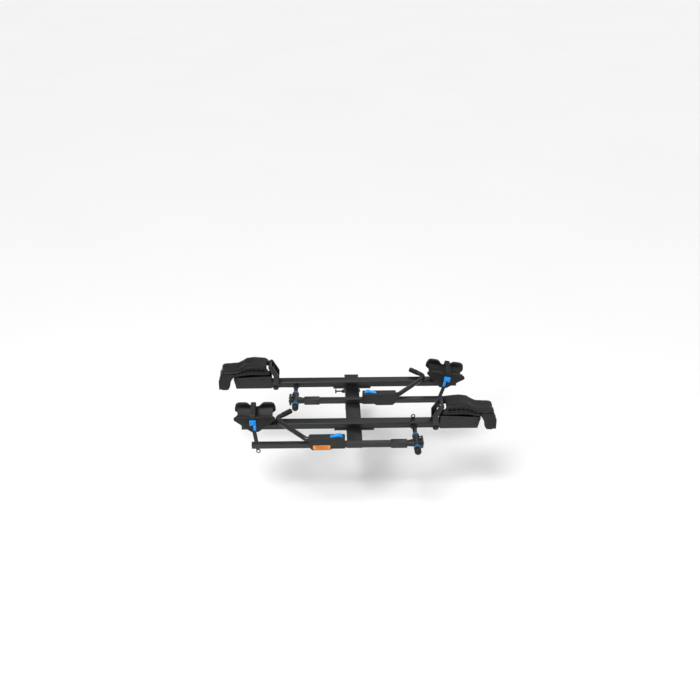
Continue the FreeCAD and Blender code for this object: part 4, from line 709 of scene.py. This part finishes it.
class RACK_OT_arms(bpy.types.Operator):
    """Cast the knuckles, end plates and rod caps of the folding arms"""
    bl_idname = "rack.arms"
    bl_label = "Arm castings"

    def execute(self, context):
        caps = Piece()
        for tray in trays():
            bush_low, bush_high = tray.box("bushes")
            front, back = bush_low[1] + 8, bush_high[1] - 8
            length = back - front
            height = tray.pivot[2] - tray.arm_z
            piece = Piece()
            rim = 17.0
            profile = [(0, rim - 1.2), (0.8, rim), (8, rim), (9.5, rim - 1.4), (13, rim - 1.4), (14.5, rim),
                       (length - 14.5, rim), (length - 13, rim - 1.4), (length - 9.5, rim - 1.4),
                       (length - 8, rim), (length - 0.8, rim), (length, rim - 1.2)]
            piece.turn((tray.pivot[0], front, tray.pivot[2]), (0, 1, 0), profile, 72)
            distance = np.linspace(0, NECK_LENGTH, 24)
            share = distance / NECK_LENGTH
            path = tray.arm(distance, 0.0, height * (1 - share))
            piece.bar(path, (0, 1, 0), 26 - 14.8 * share ** 0.6, 12.2, 4)
            neck = tray.arm(np.linspace(-21, -2, 8), 4.0, height)
            piece.bar(neck, (0, 1, 0), 18, 13, 4)
            for over in (-20, 4, 28):
                rib = tray.arm(np.linspace(-20, -10, 6), over, height + np.linspace(12, 15, 6))
                piece.bar(rib, (0, 1, 0), 2, 4, 1.5, 1.5)
            tray.finish("knuckle_casting", piece, "arm", "black_arm", "knuckle")
            self.add_end_plate(tray)
            self.add_cap(caps, tray)
        finished("rod_end_caps", caps, "spine", "black_plastic", ["rod_caps"])
        return {"FINISHED"}

    def add_end_plate(self, tray):
        """The plate at the arm's far end: a slab, a raised middle and two bolt heads."""
        low, high = tray.box("end_plate")
        middle = (low + high) / 2
        half = (high - low) / 2 + (0, 2, 4)
        outline = rounded_loop([(-half[1], -half[2]), (half[1], -half[2]), (half[1], half[2]),
                                (-half[1], half[2])], 9)
        outboard = -half[0] if tray.side < 0 else half[0]

        def place(over, depth, up):
            return np.stack([middle[0] + np.sign(outboard) * depth, middle[1] + over, middle[2] + up], -1)

        piece = Piece()
        piece.plate(outline, -half[0], half[0] - 1.5, 2.0, place)
        raised = outline * (0.78, 0.72)
        piece.plate(raised, half[0] - 2.5, half[0], 1.2, place)
        for over in (-14, 14):
            piece.turn(place(over, half[0] - 1, 0.0), (outboard, 0, 0), domed(5, 3.2, 1.0), 32)
        tray.finish("end_cover", piece, "arm", "black_arm", "end_plate")

    def add_cap(self, piece, tray):
        """The grooved cap on the pivot rod, just clear of the bush."""
        length, radius = 36.0, 16.8
        start = (tray.pivot[0], tray.box("bushes")[0][1] - 0.3, tray.pivot[2])
        piece.turn(start, (0, -1, 0), domed(radius, length, 11, (7, 12)), 64)


HANDLE_HALF = 20.0
HOOK_UP = 33.0


class RACK_OT_handles(bpy.types.Operator):
    """Mould the two halves of each sliding handle and cut the arm's channel, the hook's socket and the
    trigger's pocket"""
    bl_idname = "rack.handles"
    bl_label = "Handles"

    def execute(self, context):
        for tray in trays():
            low, high = tray.box("handle_shell")
            near, far = sorted(abs(tray.pivot[0] - x) for x in (low[0], high[0]))
            top = high[2] - tray.arm_z
            belly = low[2] - tray.arm_z
            shallow = belly + 8
            outline = rounded_loop([(near, shallow), (near, top), (far, top), (far, shallow + 10),
                                    (far - 16, belly), (near + 74, belly), (near + 62, shallow)],
                                   (3, 6, 7, 6, 9, 9, 9))
            panel = rounded_loop([(near + 9, -2), (near + 9, 35), (far - 9, 35), (far - 9, 2),
                                  (far - 22, -10), (near + 80, -10), (near + 66, -2)], 7)
            cutter = self.cutter(tray, near, far, top)
            for part, first, last in (("shell", -HANDLE_HALF, 0.0), ("cover", 0.0, HANDLE_HALF)):
                piece = Piece().add(self.half(outline, first, last, tray.arm))
                made = tray.finish("handle_%s_moulding" % part, piece, "handle", "handle_plastic",
                                   "handle_" + part)
                carve(made, cutter)
                sign = -1 if part == "shell" else 1
                self.add_panel(tray, part, panel, sign, near)
            bpy.data.objects.remove(cutter)
        return {"FINISHED"}

    def half(self, outline, first, last, place):
        """Half a handle: its outer rim is rounded by 4.5 mm, its rim at the seam by 0.5 mm."""
        rings = prism(outline, first, last, 4.5, place)
        fine = prism(outline, first, last, 0.5, place)
        middle = rings.shape[0] // 2
        if first < 0:
            return np.concatenate([rings[:middle], fine[middle:]])
        return np.concatenate([fine[:middle], rings[middle:]])

    def cutter(self, tray, near, far, top):
        """The space of the arm tube, the hook tube and the trigger, as one tool for carving."""
        gap = tray.arm_half + 0.5
        tool = Piece()
        tool.bar(tray.arm(np.array([near - 9, far + 9]), 0.0, 0.0), (0, 1, 0), gap, gap, 0.4)
        tool.turn(tray.arm(far - 62, 0.0, HOOK_UP), (-tray.side, 0, 0), [(0, 12.2), (80, 12.2)], 64)
        first, last = sorted(abs(tray.pivot[0] - corner[0]) for corner in tray.box("trigger"))
        path = tray.arm(np.array([first - 0.6, last + 0.6]), 0.0, top - 8)
        tool.bar(path, (0, 1, 0), 9.6, 14, 1.0)
        mesh = bpy.data.meshes.new("cutter")
        mesh.from_pydata((np.concatenate(tool.points) * MM).tolist(), [], tool.faces)
        made = bpy.data.objects.new("cutter", mesh)
        bpy.context.scene.collection.objects.link(made)
        return made

    def add_panel(self, tray, part, panel, sign, near):
        """A raised panel with a crease round it, and ridges for the fingers on the back half."""
        first, last = sorted((sign * (HANDLE_HALF - 0.6), sign * (HANDLE_HALF + 0.7)))
        piece = Piece().plate(panel, first, last, 0.6, tray.arm)
        if part == "cover":
            for distance in np.arange(near + 24, near + 150, 9.0):
                path = tray.arm(distance, sign * (HANDLE_HALF + 0.7), np.linspace(4, 30, 8))
                piece.bar(path, (0, 1, 0), 0.8, 2.0, 0.7, 0.7)
        tray.finish("handle_%s_panel" % part, piece, "handle", "handle_plastic")


def carve(made, cutter):
    """Cut one object's space out of another and keep the result as its mesh."""
    cut = made.modifiers.new("carve", "BOOLEAN")
    cut.operation = "DIFFERENCE"
    cut.solver = "EXACT"
    cut.use_self = True
    cut.object = cutter
    depsgraph = bpy.context.evaluated_depsgraph_get()
    mesh = bpy.data.meshes.new_from_object(made.evaluated_get(depsgraph))
    if len(mesh.polygons) < 50:
        raise RuntimeError("carving %s left nothing" % made.name)
    made.modifiers.clear()
    made.data = mesh
    mesh.set_sharp_from_angle(angle=SHARP_ANGLE)


class RACK_OT_hooks(bpy.types.Operator):
    """Bend the hook tubes and fit their ribbed rubber pads"""
    bl_idname = "rack.hooks"
    bl_label = "Hooks"

    def execute(self, context):
        sizes = context.scene.rack_sizes
        for tray in trays():
            low, high = tray.box("handle_shell")
            end = max(abs(tray.pivot[0] - x) for x in (low[0], high[0]))
            turn = math.radians(sizes.hook_first_turn)
            over = tray.rail_y - tray.arm_y
            first = np.array([end + sizes.hook_exit, 0.0])
            second = first + np.array([over / math.tan(turn), over])
            heading = turn + math.radians(sizes.hook_second_turn)
            tip = second + sizes.hook_tip * np.array([math.cos(heading), math.sin(heading)])
            line = rounded_line([(end - 58, 0.0), first, second, tip], sizes.hook_bend, steps=16)
            pad = 52.0
            away = (second - tip) / np.linalg.norm(second - tip)
            seat = tip + away * (pad - 4)
            self.add_tube(tray, line, sizes)
            self.add_pad(tray, tip - away * 4, seat, sizes)
        return {"FINISHED"}

    def lifted(self, tray, line, sizes):
        """The hook's flat line, its plane turned up about the straight part by the hook's lift."""
        lift = math.radians(sizes.hook_lift)
        return tray.arm(line[:, 0], line[:, 1] * math.cos(lift), HOOK_UP + line[:, 1] * math.sin(lift))

    def add_tube(self, tray, line, sizes):
        """The bent tube: a circle carried along the hook's line."""
        path = self.lifted(tray, resampled(line, 3.5), sizes)
        piece = Piece().bar(path, (0, 0, 1), 12, 12, 11.99)
        tray.finish("hook_tube", piece, "handle", "black_arm", "hook")

    def add_pad(self, tray, tip, seat, sizes):
        """The pad's radius swells by a small cosine at each ring, and its tip is a quarter circle."""
        share = np.linspace(0, 1, 90)
        line = tip + share[:, None] * (seat - tip)
        path = self.lifted(tray, line, sizes)
        length = np.linalg.norm(seat - tip)
        radius = 13.1 + 0.5 * np.cos(share * 2 * math.pi * 9) * (share > 0.15)
        edge = 4.0
        inside = np.clip(share * length / edge, 0, 1)
        radius = radius - edge * (1 - np.sqrt(1 - (1 - inside) ** 2))
        piece = Piece().bar(path, (0, 0, 1), radius, radius, radius * 0.999)
        tray.finish("hook_rubber", piece, "handle", "black_rubber", "hook_pad")


class RACK_OT_triggers(bpy.types.Operator):
    """Mould the blue triggers with ridges on their press face"""
    bl_idname = "rack.triggers"
    bl_label = "Triggers"

    def execute(self, context):
        ridges = context.scene.rack_sizes.trigger_ridges
        for tray in trays():
            low, high = tray.box("trigger")
            near, far = sorted(abs(tray.pivot[0] - x) for x in (low[0], high[0]))
            crest = high[2] - tray.arm_z
            outline = rounded_loop([(near, crest - 24), (near, crest - 12), (near + 11, crest),
                                    (near + 24, crest), (near + 37, crest - 7), (far, crest - 13),
                                    (far, crest - 24)], (1, 4, 5, 8, 16, 3, 1))
            piece = Piece().plate(outline, -9, 9, 1.6, tray.arm)
            for number in range(ridges):
                path = tray.arm(near + 12.5 + 2.6 * number, np.linspace(-6.5, 6.5, 6), crest + 0.1)
                piece.bar(path, (1, 0, 0), 0.7, 0.6, 0.5, 0.5)
            hinge = joint_at(tray.name + "_trigger_press")
            piece.turn(hinge - (0, 13, 0), (0, 1, 0), domed(2.5, 26, 0.6), 24)
            tray.finish("trigger_paddle", piece, "trigger", "blue_plastic", "trigger")
        return {"FINISHED"}


class RACK_OT_label(bpy.types.Operator):
    """Stick a blank orange patch on the belly of the outer handle"""
    bl_idname = "rack.label"
    bl_label = "Label"

    def execute(self, context):
        tray = Tray("outer")
        low, high = node_box("outer_handle_shell")
        far = max(abs(tray.pivot[0] - x) for x in (low[0], high[0]))
        first, last = far - 104, far - 20
        outline = rounded_loop([(first, -17), (last - 6, -17), (last, -10), (last, 9), (first, 9)], 3)
        piece = Piece().plate(outline, -HANDLE_HALF - 1.1, -HANDLE_HALF - 0.2, 0.3, tray.arm)
        tray.finish("label", piece, "handle", "label_orange")
        marks = Piece()
        for up in (-11, -4, 3):
            path = tray.arm(np.linspace(first + 8, last - 14, 8), -21.15, up)
            marks.bar(path, (0, 1, 0), 0.25, 0.8, 0.2)
        tray.finish("label_lines", marks, "handle", "black_plastic")
        return {"FINISHED"}


HULL_HALF = 48.0
CHANNEL_HALF = 33.0


class RACK_OT_rear_cradles(bpy.types.Operator):
    """Mould the rear wheel cradles: a lobed back wall, a lower wavy front wall and a ridged channel"""
    bl_idname = "rack.rear_cradles"
    bl_label = "Rear wheel cradles"

    def execute(self, context):
        sizes = context.scene.rack_sizes
        shift = np.linspace(-102, 102, 90)
        centre = np.abs(shift)
        shoulder = 1 - np.sqrt(1 - (np.clip((centre - 76) / 26, 0, 0.999)) ** 2)
        lobe = 93 + (sizes.lobe_rise + 1) * (1 - np.exp(-(centre / 33) ** 4)) - 30 * shoulder
        front = 96 - 5 * np.cos(shift / 102 * math.pi) ** 2 - 8 * (centre / 102) ** 10
        keel = np.maximum(3, 3 + (centre - 18) * 73 / 86)
        for tray in trays():
            piece = Piece()
            for top, low, high in ((front, -HULL_HALF, -CHANNEL_HALF), (lobe, CHANNEL_HALF, HULL_HALF)):
                outline = np.concatenate([np.stack([shift, keel], 1), np.stack([shift, top], 1)[::-1]])
                piece.plate(resampled_loop(outline, 3.0), low, high, 3.0, tray.rear)
            self.add_flanges(piece, tray, shift, front, lobe)
            self.add_channel(piece, tray, shift)
            self.add_face(piece, tray)
            tray.finish("rear_moulding", piece, "rear_cradle", "black_plastic", "rear_cradle")
        return {"FINISHED"}

    def add_flanges(self, piece, tray, shift, front, lobe):
        """Rounded rims along the tops of both walls and two raised seam lines below the front one."""
        inside = slice(3, -3)
        for top, over in ((front, -40.5), (lobe, 40.5)):
            path = tray.rear(shift[inside], over, top[inside] - 1.5)
            piece.bar(path, (0, 1, 0), 8.6, 2.6, 2.2, 2.0)
        for drop, proud in ((16, 0.6), (34, 0.4)):
            span = np.abs(shift) < 92 - drop * 0.9
            path = tray.rear(shift[span], -HULL_HALF - proud, front[span] - drop)
            piece.bar(path, (0, 1, 0), 1.2, 1.6, 1.0, 1.0)

    def add_channel(self, piece, tray, shift):
        """The wheel channel. Across, it rises from a low line nearer the front wall, with the distance to
        the power 2.2 on the front side and 2.6 on the back side. Along, it rises with the distance squared.
        Fine cosine ridges run along it."""
        along = shift[6:-6, None]
        across = np.linspace(-1, 1, 57)[None]
        rise = np.where(across < -0.35, 26 * (np.abs(across + 0.35) / 0.65) ** 2.2,
                        27 * (np.abs(across + 0.35) / 1.35) ** 2.6)
        up = 65 + rise + 4 * (along / 90) ** 2 + 0.4 * np.cos(across * 2 * math.pi * 9)
        piece.add_shell(tray.rear(along, (CHANNEL_HALF + 1) * across, up), 3.0)
        for level in np.arange(76, 100, 5.5):
            inner = shift[np.abs(shift) < 88]
            path = tray.rear(inner, CHANNEL_HALF - 0.1, level)
            piece.bar(path, (0, 1, 0), 0.7, 0.9, 0.6, 0.6)

    def add_face(self, piece, tray):
        """The outer face below the seam: a raised V panel and two short brows."""
        panel = rounded_loop([(-70, 66), (-18, 12), (18, 12), (70, 66), (34, 60), (-34, 60)], 7)
        piece.plates(panel, HULL_HALF - 1, HULL_HALF + 1.2, 0.9, tray.rear)
        for side in (-1, 1):
            bow = np.linspace(0, 1, 20)
            path = tray.rear(side * (30 + 38 * bow), -HULL_HALF - 0.8, 70 + 7 * np.sin(bow * math.pi))
            piece.bar(path, (0, 1, 0), 1.0, 2.0, 0.9, 0.9)


def resampled_loop(outline, spacing):
    """A closed outline with points at even steps."""
    return resampled(np.concatenate([outline, outline[:1]]), spacing)[:-1]


STRAP_SHIFT = 8.0


class RACK_OT_straps(bpy.types.Operator):
    """Thread the ladder straps over the walls, with rungs, a hanging tail and an end ring"""
    bl_idname = "rack.straps"
    bl_label = "Ladder straps"

    def execute(self, context):
        sizes = context.scene.rack_sizes
        for tray in trays():
            wall = HULL_HALF + 1.8
            route = rounded_line([(wall, 66), (wall, 118.5), (21, 120.5), (-wall, 101), (-wall, 78.2)],
                                 (0, 10, 30, 12, 0), steps=10)
            route = resampled(route, 2.0)
            path = tray.rear(STRAP_SHIFT, route[:, 0], route[:, 1])
            direction = tray.rear_outboard()
            piece = Piece().bar(path, direction, 12.5, 1.4, 1.2, 0)
            self.add_rungs(piece, tray, route, direction, sizes)
            self.add_tail(piece, tray, sizes)
            tray.finish("strap_band", piece, "rear_cradle", "strap_rubber", "ladder_strap")
        return {"FINISHED"}

    def add_rungs(self, piece, tray, route, direction, sizes):
        """Rungs stand out of the outer face at even steps, between two raised edges."""
        along = np.gradient(route, axis=0)
        along /= np.linalg.norm(along, axis=1, keepdims=True)
        outward = np.stack([-along[:, 1], along[:, 0]], 1)
        outward *= np.sign(np.sum(outward * (route - (0, 60)), axis=1))[:, None]
        raised = route + outward * 1.5
        step = max(int(sizes.rung_spacing / 2), 1)
        for over, up in raised[4:-3:step]:
            path = tray.rear(STRAP_SHIFT + np.linspace(-8.5, 8.5, 4), over, up)
            piece.bar(path, (0, 1, 0) if abs(over) < 44 else (0, 0, 1), 1.1, 0.7, 0.6, 0.4)
        for shift in (-11.2, 11.2):
            path = tray.rear(STRAP_SHIFT + shift, raised[:, 0], raised[:, 1])
            piece.bar(path, direction, 1.1, 0.7, 0.6, 0.4)

    def add_tail(self, piece, tray, sizes):
        """The tail hangs straight with its lean towards the spine and ends in a flat ring."""
        lean = math.radians(7)
        down = np.linspace(0, 152, 80)
        start_up = 64 - 14 - 1.8
        over = -HULL_HALF - 1.8

        def tail(offset, distance, depth):
            shift = STRAP_SHIFT - distance * math.sin(lean) + offset * math.cos(lean)
            return tray.rear(shift, over + depth,
                             start_up - distance * math.cos(lean) - offset * math.sin(lean))

        direction = tail(1.0, 0.0, 0.0) - tail(0.0, 0.0, 0.0)
        piece.bar(tail(0.0, down, 0.0), direction, 9.8, 1.4, 1.2)
        for distance in np.arange(4, 148, sizes.rung_spacing):
            path = tail(np.linspace(-6.5, 6.5, 4), distance, -1.5)
            piece.bar(path, (0, 1, 0), 0.7, 1.1, 0.6, 0.4)
        for offset in (-8.6, 8.6):
            piece.bar(tail(offset, down[2:-2], -1.5), direction, 0.9, 0.7, 0.6, 0.4)
        angle = np.linspace(0, 2 * math.pi, 48, endpoint=False)
        ring = tail(9.2 * np.cos(angle), 163 + 9.2 * np.sin(angle), 0.0)
        piece.add_ring(carried(ring, (0, 1, 0), 1.5, 2.7, 1.2, closed=True))


class RACK_OT_buckles(bpy.types.Operator):
    """Mould the blue buckles and their levers"""
    bl_idname = "rack.buckles"
    bl_label = "Buckles and levers"

    def execute(self, context):
        for tray in trays():
            middle = 64.0
            half_wide, half_tall = 16.5, 14.0
            front, back = -62.0, -48.2

            def place(shift, over, up):
                return tray.rear(STRAP_SHIFT + shift, over, middle + up)

            corners = [(-half_wide, -half_tall), (half_wide, -half_tall), (half_wide, half_tall),
                       (-half_wide, half_tall)]
            body = rounded_loop(corners, 5)
            piece = Piece().plate(body, front + 4, back, 1.6, place)
            for shift in (-12.6, 12.6):
                cheek = rounded_loop([(shift - 3.6, -12.5), (shift + 3.6, -12.5), (shift + 3.6, 12.5),
                                      (shift - 3.6, 12.5)], 3)
                piece.plate(cheek, front, front + 8, 1.4, place)
            press = rounded_loop([(-8.4, -9), (8.4, -9), (8.4, 11), (-8.4, 11)], 3)
            piece.plate(press, front + 1.2, front + 6, 1.6, place)
            for up in (-5, -1.5, 2, 5.5):
                path = place(np.linspace(-6, 6, 5), front + 1.2, up)
                piece.bar(path, (0, 1, 0), 0.6, 0.8, 0.5, 0.4)
            tray.finish("buckle_housing", piece, "rear_cradle", "blue_plastic", "buckle")
            self.add_lever(tray)
        return {"FINISHED"}

    def add_lever(self, tray):
        """A curved plate below the buckle, thickest at its hinge barrel and thinner towards its ribbed end."""
        barrel_up, centre_over = 46.6, -59.0
        shift = STRAP_SHIFT - 9.5
        fall = np.linspace(0, 25, 16)
        bow = 1.6 * np.sin(fall / 25 * math.pi)
        direction = tray.rear_outboard()
        path = tray.rear(shift, centre_over - bow + 0.4, barrel_up - fall)
        piece = Piece().bar(path, direction, 6.9 - 1.6 * (fall / 25) ** 2, 2.2 - 0.6 * fall / 25, 1.4, 1.2)
        start = tray.rear(shift - 7, centre_over, barrel_up)
        piece.turn(start, direction, domed(3.0, 14, 0.7), 32)
        for distance in (14, 17.5, 21):
            rib = tray.rear(shift + np.linspace(-4, 4, 4), centre_over - 3.2, barrel_up - distance)
            piece.bar(rib, (0, 1, 0), 0.6, 0.8, 0.5, 0.4)
        tray.finish("lever_paddle", piece, "buckle_lever", "blue_plastic", "buckle_lever")


class RACK_OT_stage(bpy.types.Operator):
    """Pale floor, soft lights and the camera"""
    bl_idname = "rack.stage"
    bl_label = "Stage"

    def execute(self, context):
        low, high = (Vector(corner) for corner in CAD_BOX)
        self.add_floor(low[2] - context.scene.rack_sizes.clearance * MM)
        middle = (low + high) / 2
        for name, kind, place, size, power in (
                ("sun", "SUN", (-1.2, -1.6, 3.6), 0.5, 2.5), ("key", "AREA", (-1.8, -2.4, 2.6), 1.2, 34),
                ("fill", "AREA", (2.8, -2.2, 1.8), 1.2, 16), ("back", "SUN", (1.8, 2.6, 3.0), 0.9, 0.45)):
            data = bpy.data.lights.new(name, kind)
            if kind == "SUN":
                data.angle = size
            else:
                data.size = size
            data.energy = power
            lamp = bpy.data.objects.new(name, data)
            context.scene.collection.objects.link(lamp)
            lamp.location = place
            lamp.rotation_euler = (middle - Vector(place)).to_track_quat("-Z", "Y").to_euler()
        world = bpy.data.worlds.new("studio")
        world.use_nodes = True
        set_inputs(world.node_tree.nodes["Background"], Color=(1, 1, 1, 1), Strength=0.32)
        context.scene.world = world
        context.scene.view_settings.view_transform = "Standard"
        self.add_camera(context)
        return {"FINISHED"}

    def add_floor(self, height):
        """A wide square floor at that height."""
        extent = 30.0
        mesh = bpy.data.meshes.new("floor")
        corners = [(-extent, -extent, height), (extent, -extent, height), (extent, extent, height),
                   (-extent, extent, height)]
        mesh.from_pydata(corners, [], [(0, 1, 2, 3)])
        floor = bpy.data.objects.new("floor", mesh)
        bpy.context.scene.collection.objects.link(floor)
        mesh.materials.append(self.floor_paint())

    def floor_paint(self):
        """Pale matt paint with a barely visible change of shade."""
        material, nodes, links, shader = new_material("pale_floor")
        place = nodes.new("ShaderNodeTexCoord")
        cloud = nodes.new("ShaderNodeTexNoise")
        set_inputs(cloud, Scale=0.8)
        links.new(place.outputs["Object"], cloud.inputs["Vector"])
        shade = nodes.new("ShaderNodeValToRGB")
        for stop, level in zip(shade.color_ramp.elements, (0.80, 0.83)):
            stop.color = (level, level, level, 1)
        links.new(cloud.outputs["Fac"], shade.inputs["Fac"])
        links.new(shade.outputs["Color"], shader.inputs["Base Color"])
        set_inputs(shader, Roughness=0.8, Specular_IOR_Level=0.1)
        return material

    def add_camera(self, context):
        """The camera looks along a level heading, tipped down, then turned a little about its own axis."""
        heading, down, roll = math.radians(1.904), math.radians(31.38), math.radians(0.461)
        ahead = Vector((math.sin(heading) * math.cos(down), math.cos(heading) * math.cos(down),
                        -math.sin(down)))
        level = Vector((math.cos(heading), -math.sin(heading), 0))
        upright = level.cross(ahead)
        right = level * math.cos(roll) + upright * math.sin(roll)
        upright = right.cross(ahead)
        data = bpy.data.cameras.new("camera")
        data.sensor_width = 36.0
        data.lens = 44.72
        camera = bpy.data.objects.new("camera", data)
        context.scene.collection.objects.link(camera)
        turn = Matrix((right, upright, -ahead)).transposed().to_4x4()
        camera.matrix_world = Matrix.Translation((-0.1416, -4.1254, 2.791)) @ turn
        context.scene.camera = camera


class RACK_PT_panel(bpy.types.Panel):
    bl_label = "Bike Rack"
    bl_idname = "RACK_PT_panel"
    bl_space_type = "VIEW_3D"
    bl_region_type = "UI"
    bl_category = "Bike Rack"

    def draw(self, context):
        for group in (context.scene.rack_sizes, context.scene.rack_colours):
            for name in group.bl_rna.properties.keys():
                if name not in ("rna_type", "name"):
                    self.layout.prop(group, name)
        for operator in OPERATORS:
            self.layout.operator(operator.bl_idname)


OPERATORS = (
    RACK_OT_frame, RACK_OT_front_cradles, RACK_OT_hoops, RACK_OT_troughs, RACK_OT_arms, RACK_OT_handles,
    RACK_OT_hooks, RACK_OT_triggers, RACK_OT_label, RACK_OT_rear_cradles, RACK_OT_straps, RACK_OT_buckles,
    RACK_OT_stage,
)
CLASSES = (RackColours, RackSizes, *OPERATORS, RACK_PT_panel)


def register():
    for item in CLASSES:
        bpy.utils.register_class(item)
    bpy.types.Scene.rack_colours = PointerProperty(type=RackColours)
    bpy.types.Scene.rack_sizes = PointerProperty(type=RackSizes)


def unregister():
    del bpy.types.Scene.rack_sizes
    del bpy.types.Scene.rack_colours
    for item in reversed(CLASSES):
        bpy.utils.unregister_class(item)


def main():
    register()
    for operator in OPERATORS:
        group, name = operator.bl_idname.split(".")
        getattr(getattr(bpy.ops, group), name)()


if __name__ == "__main__":
    main()
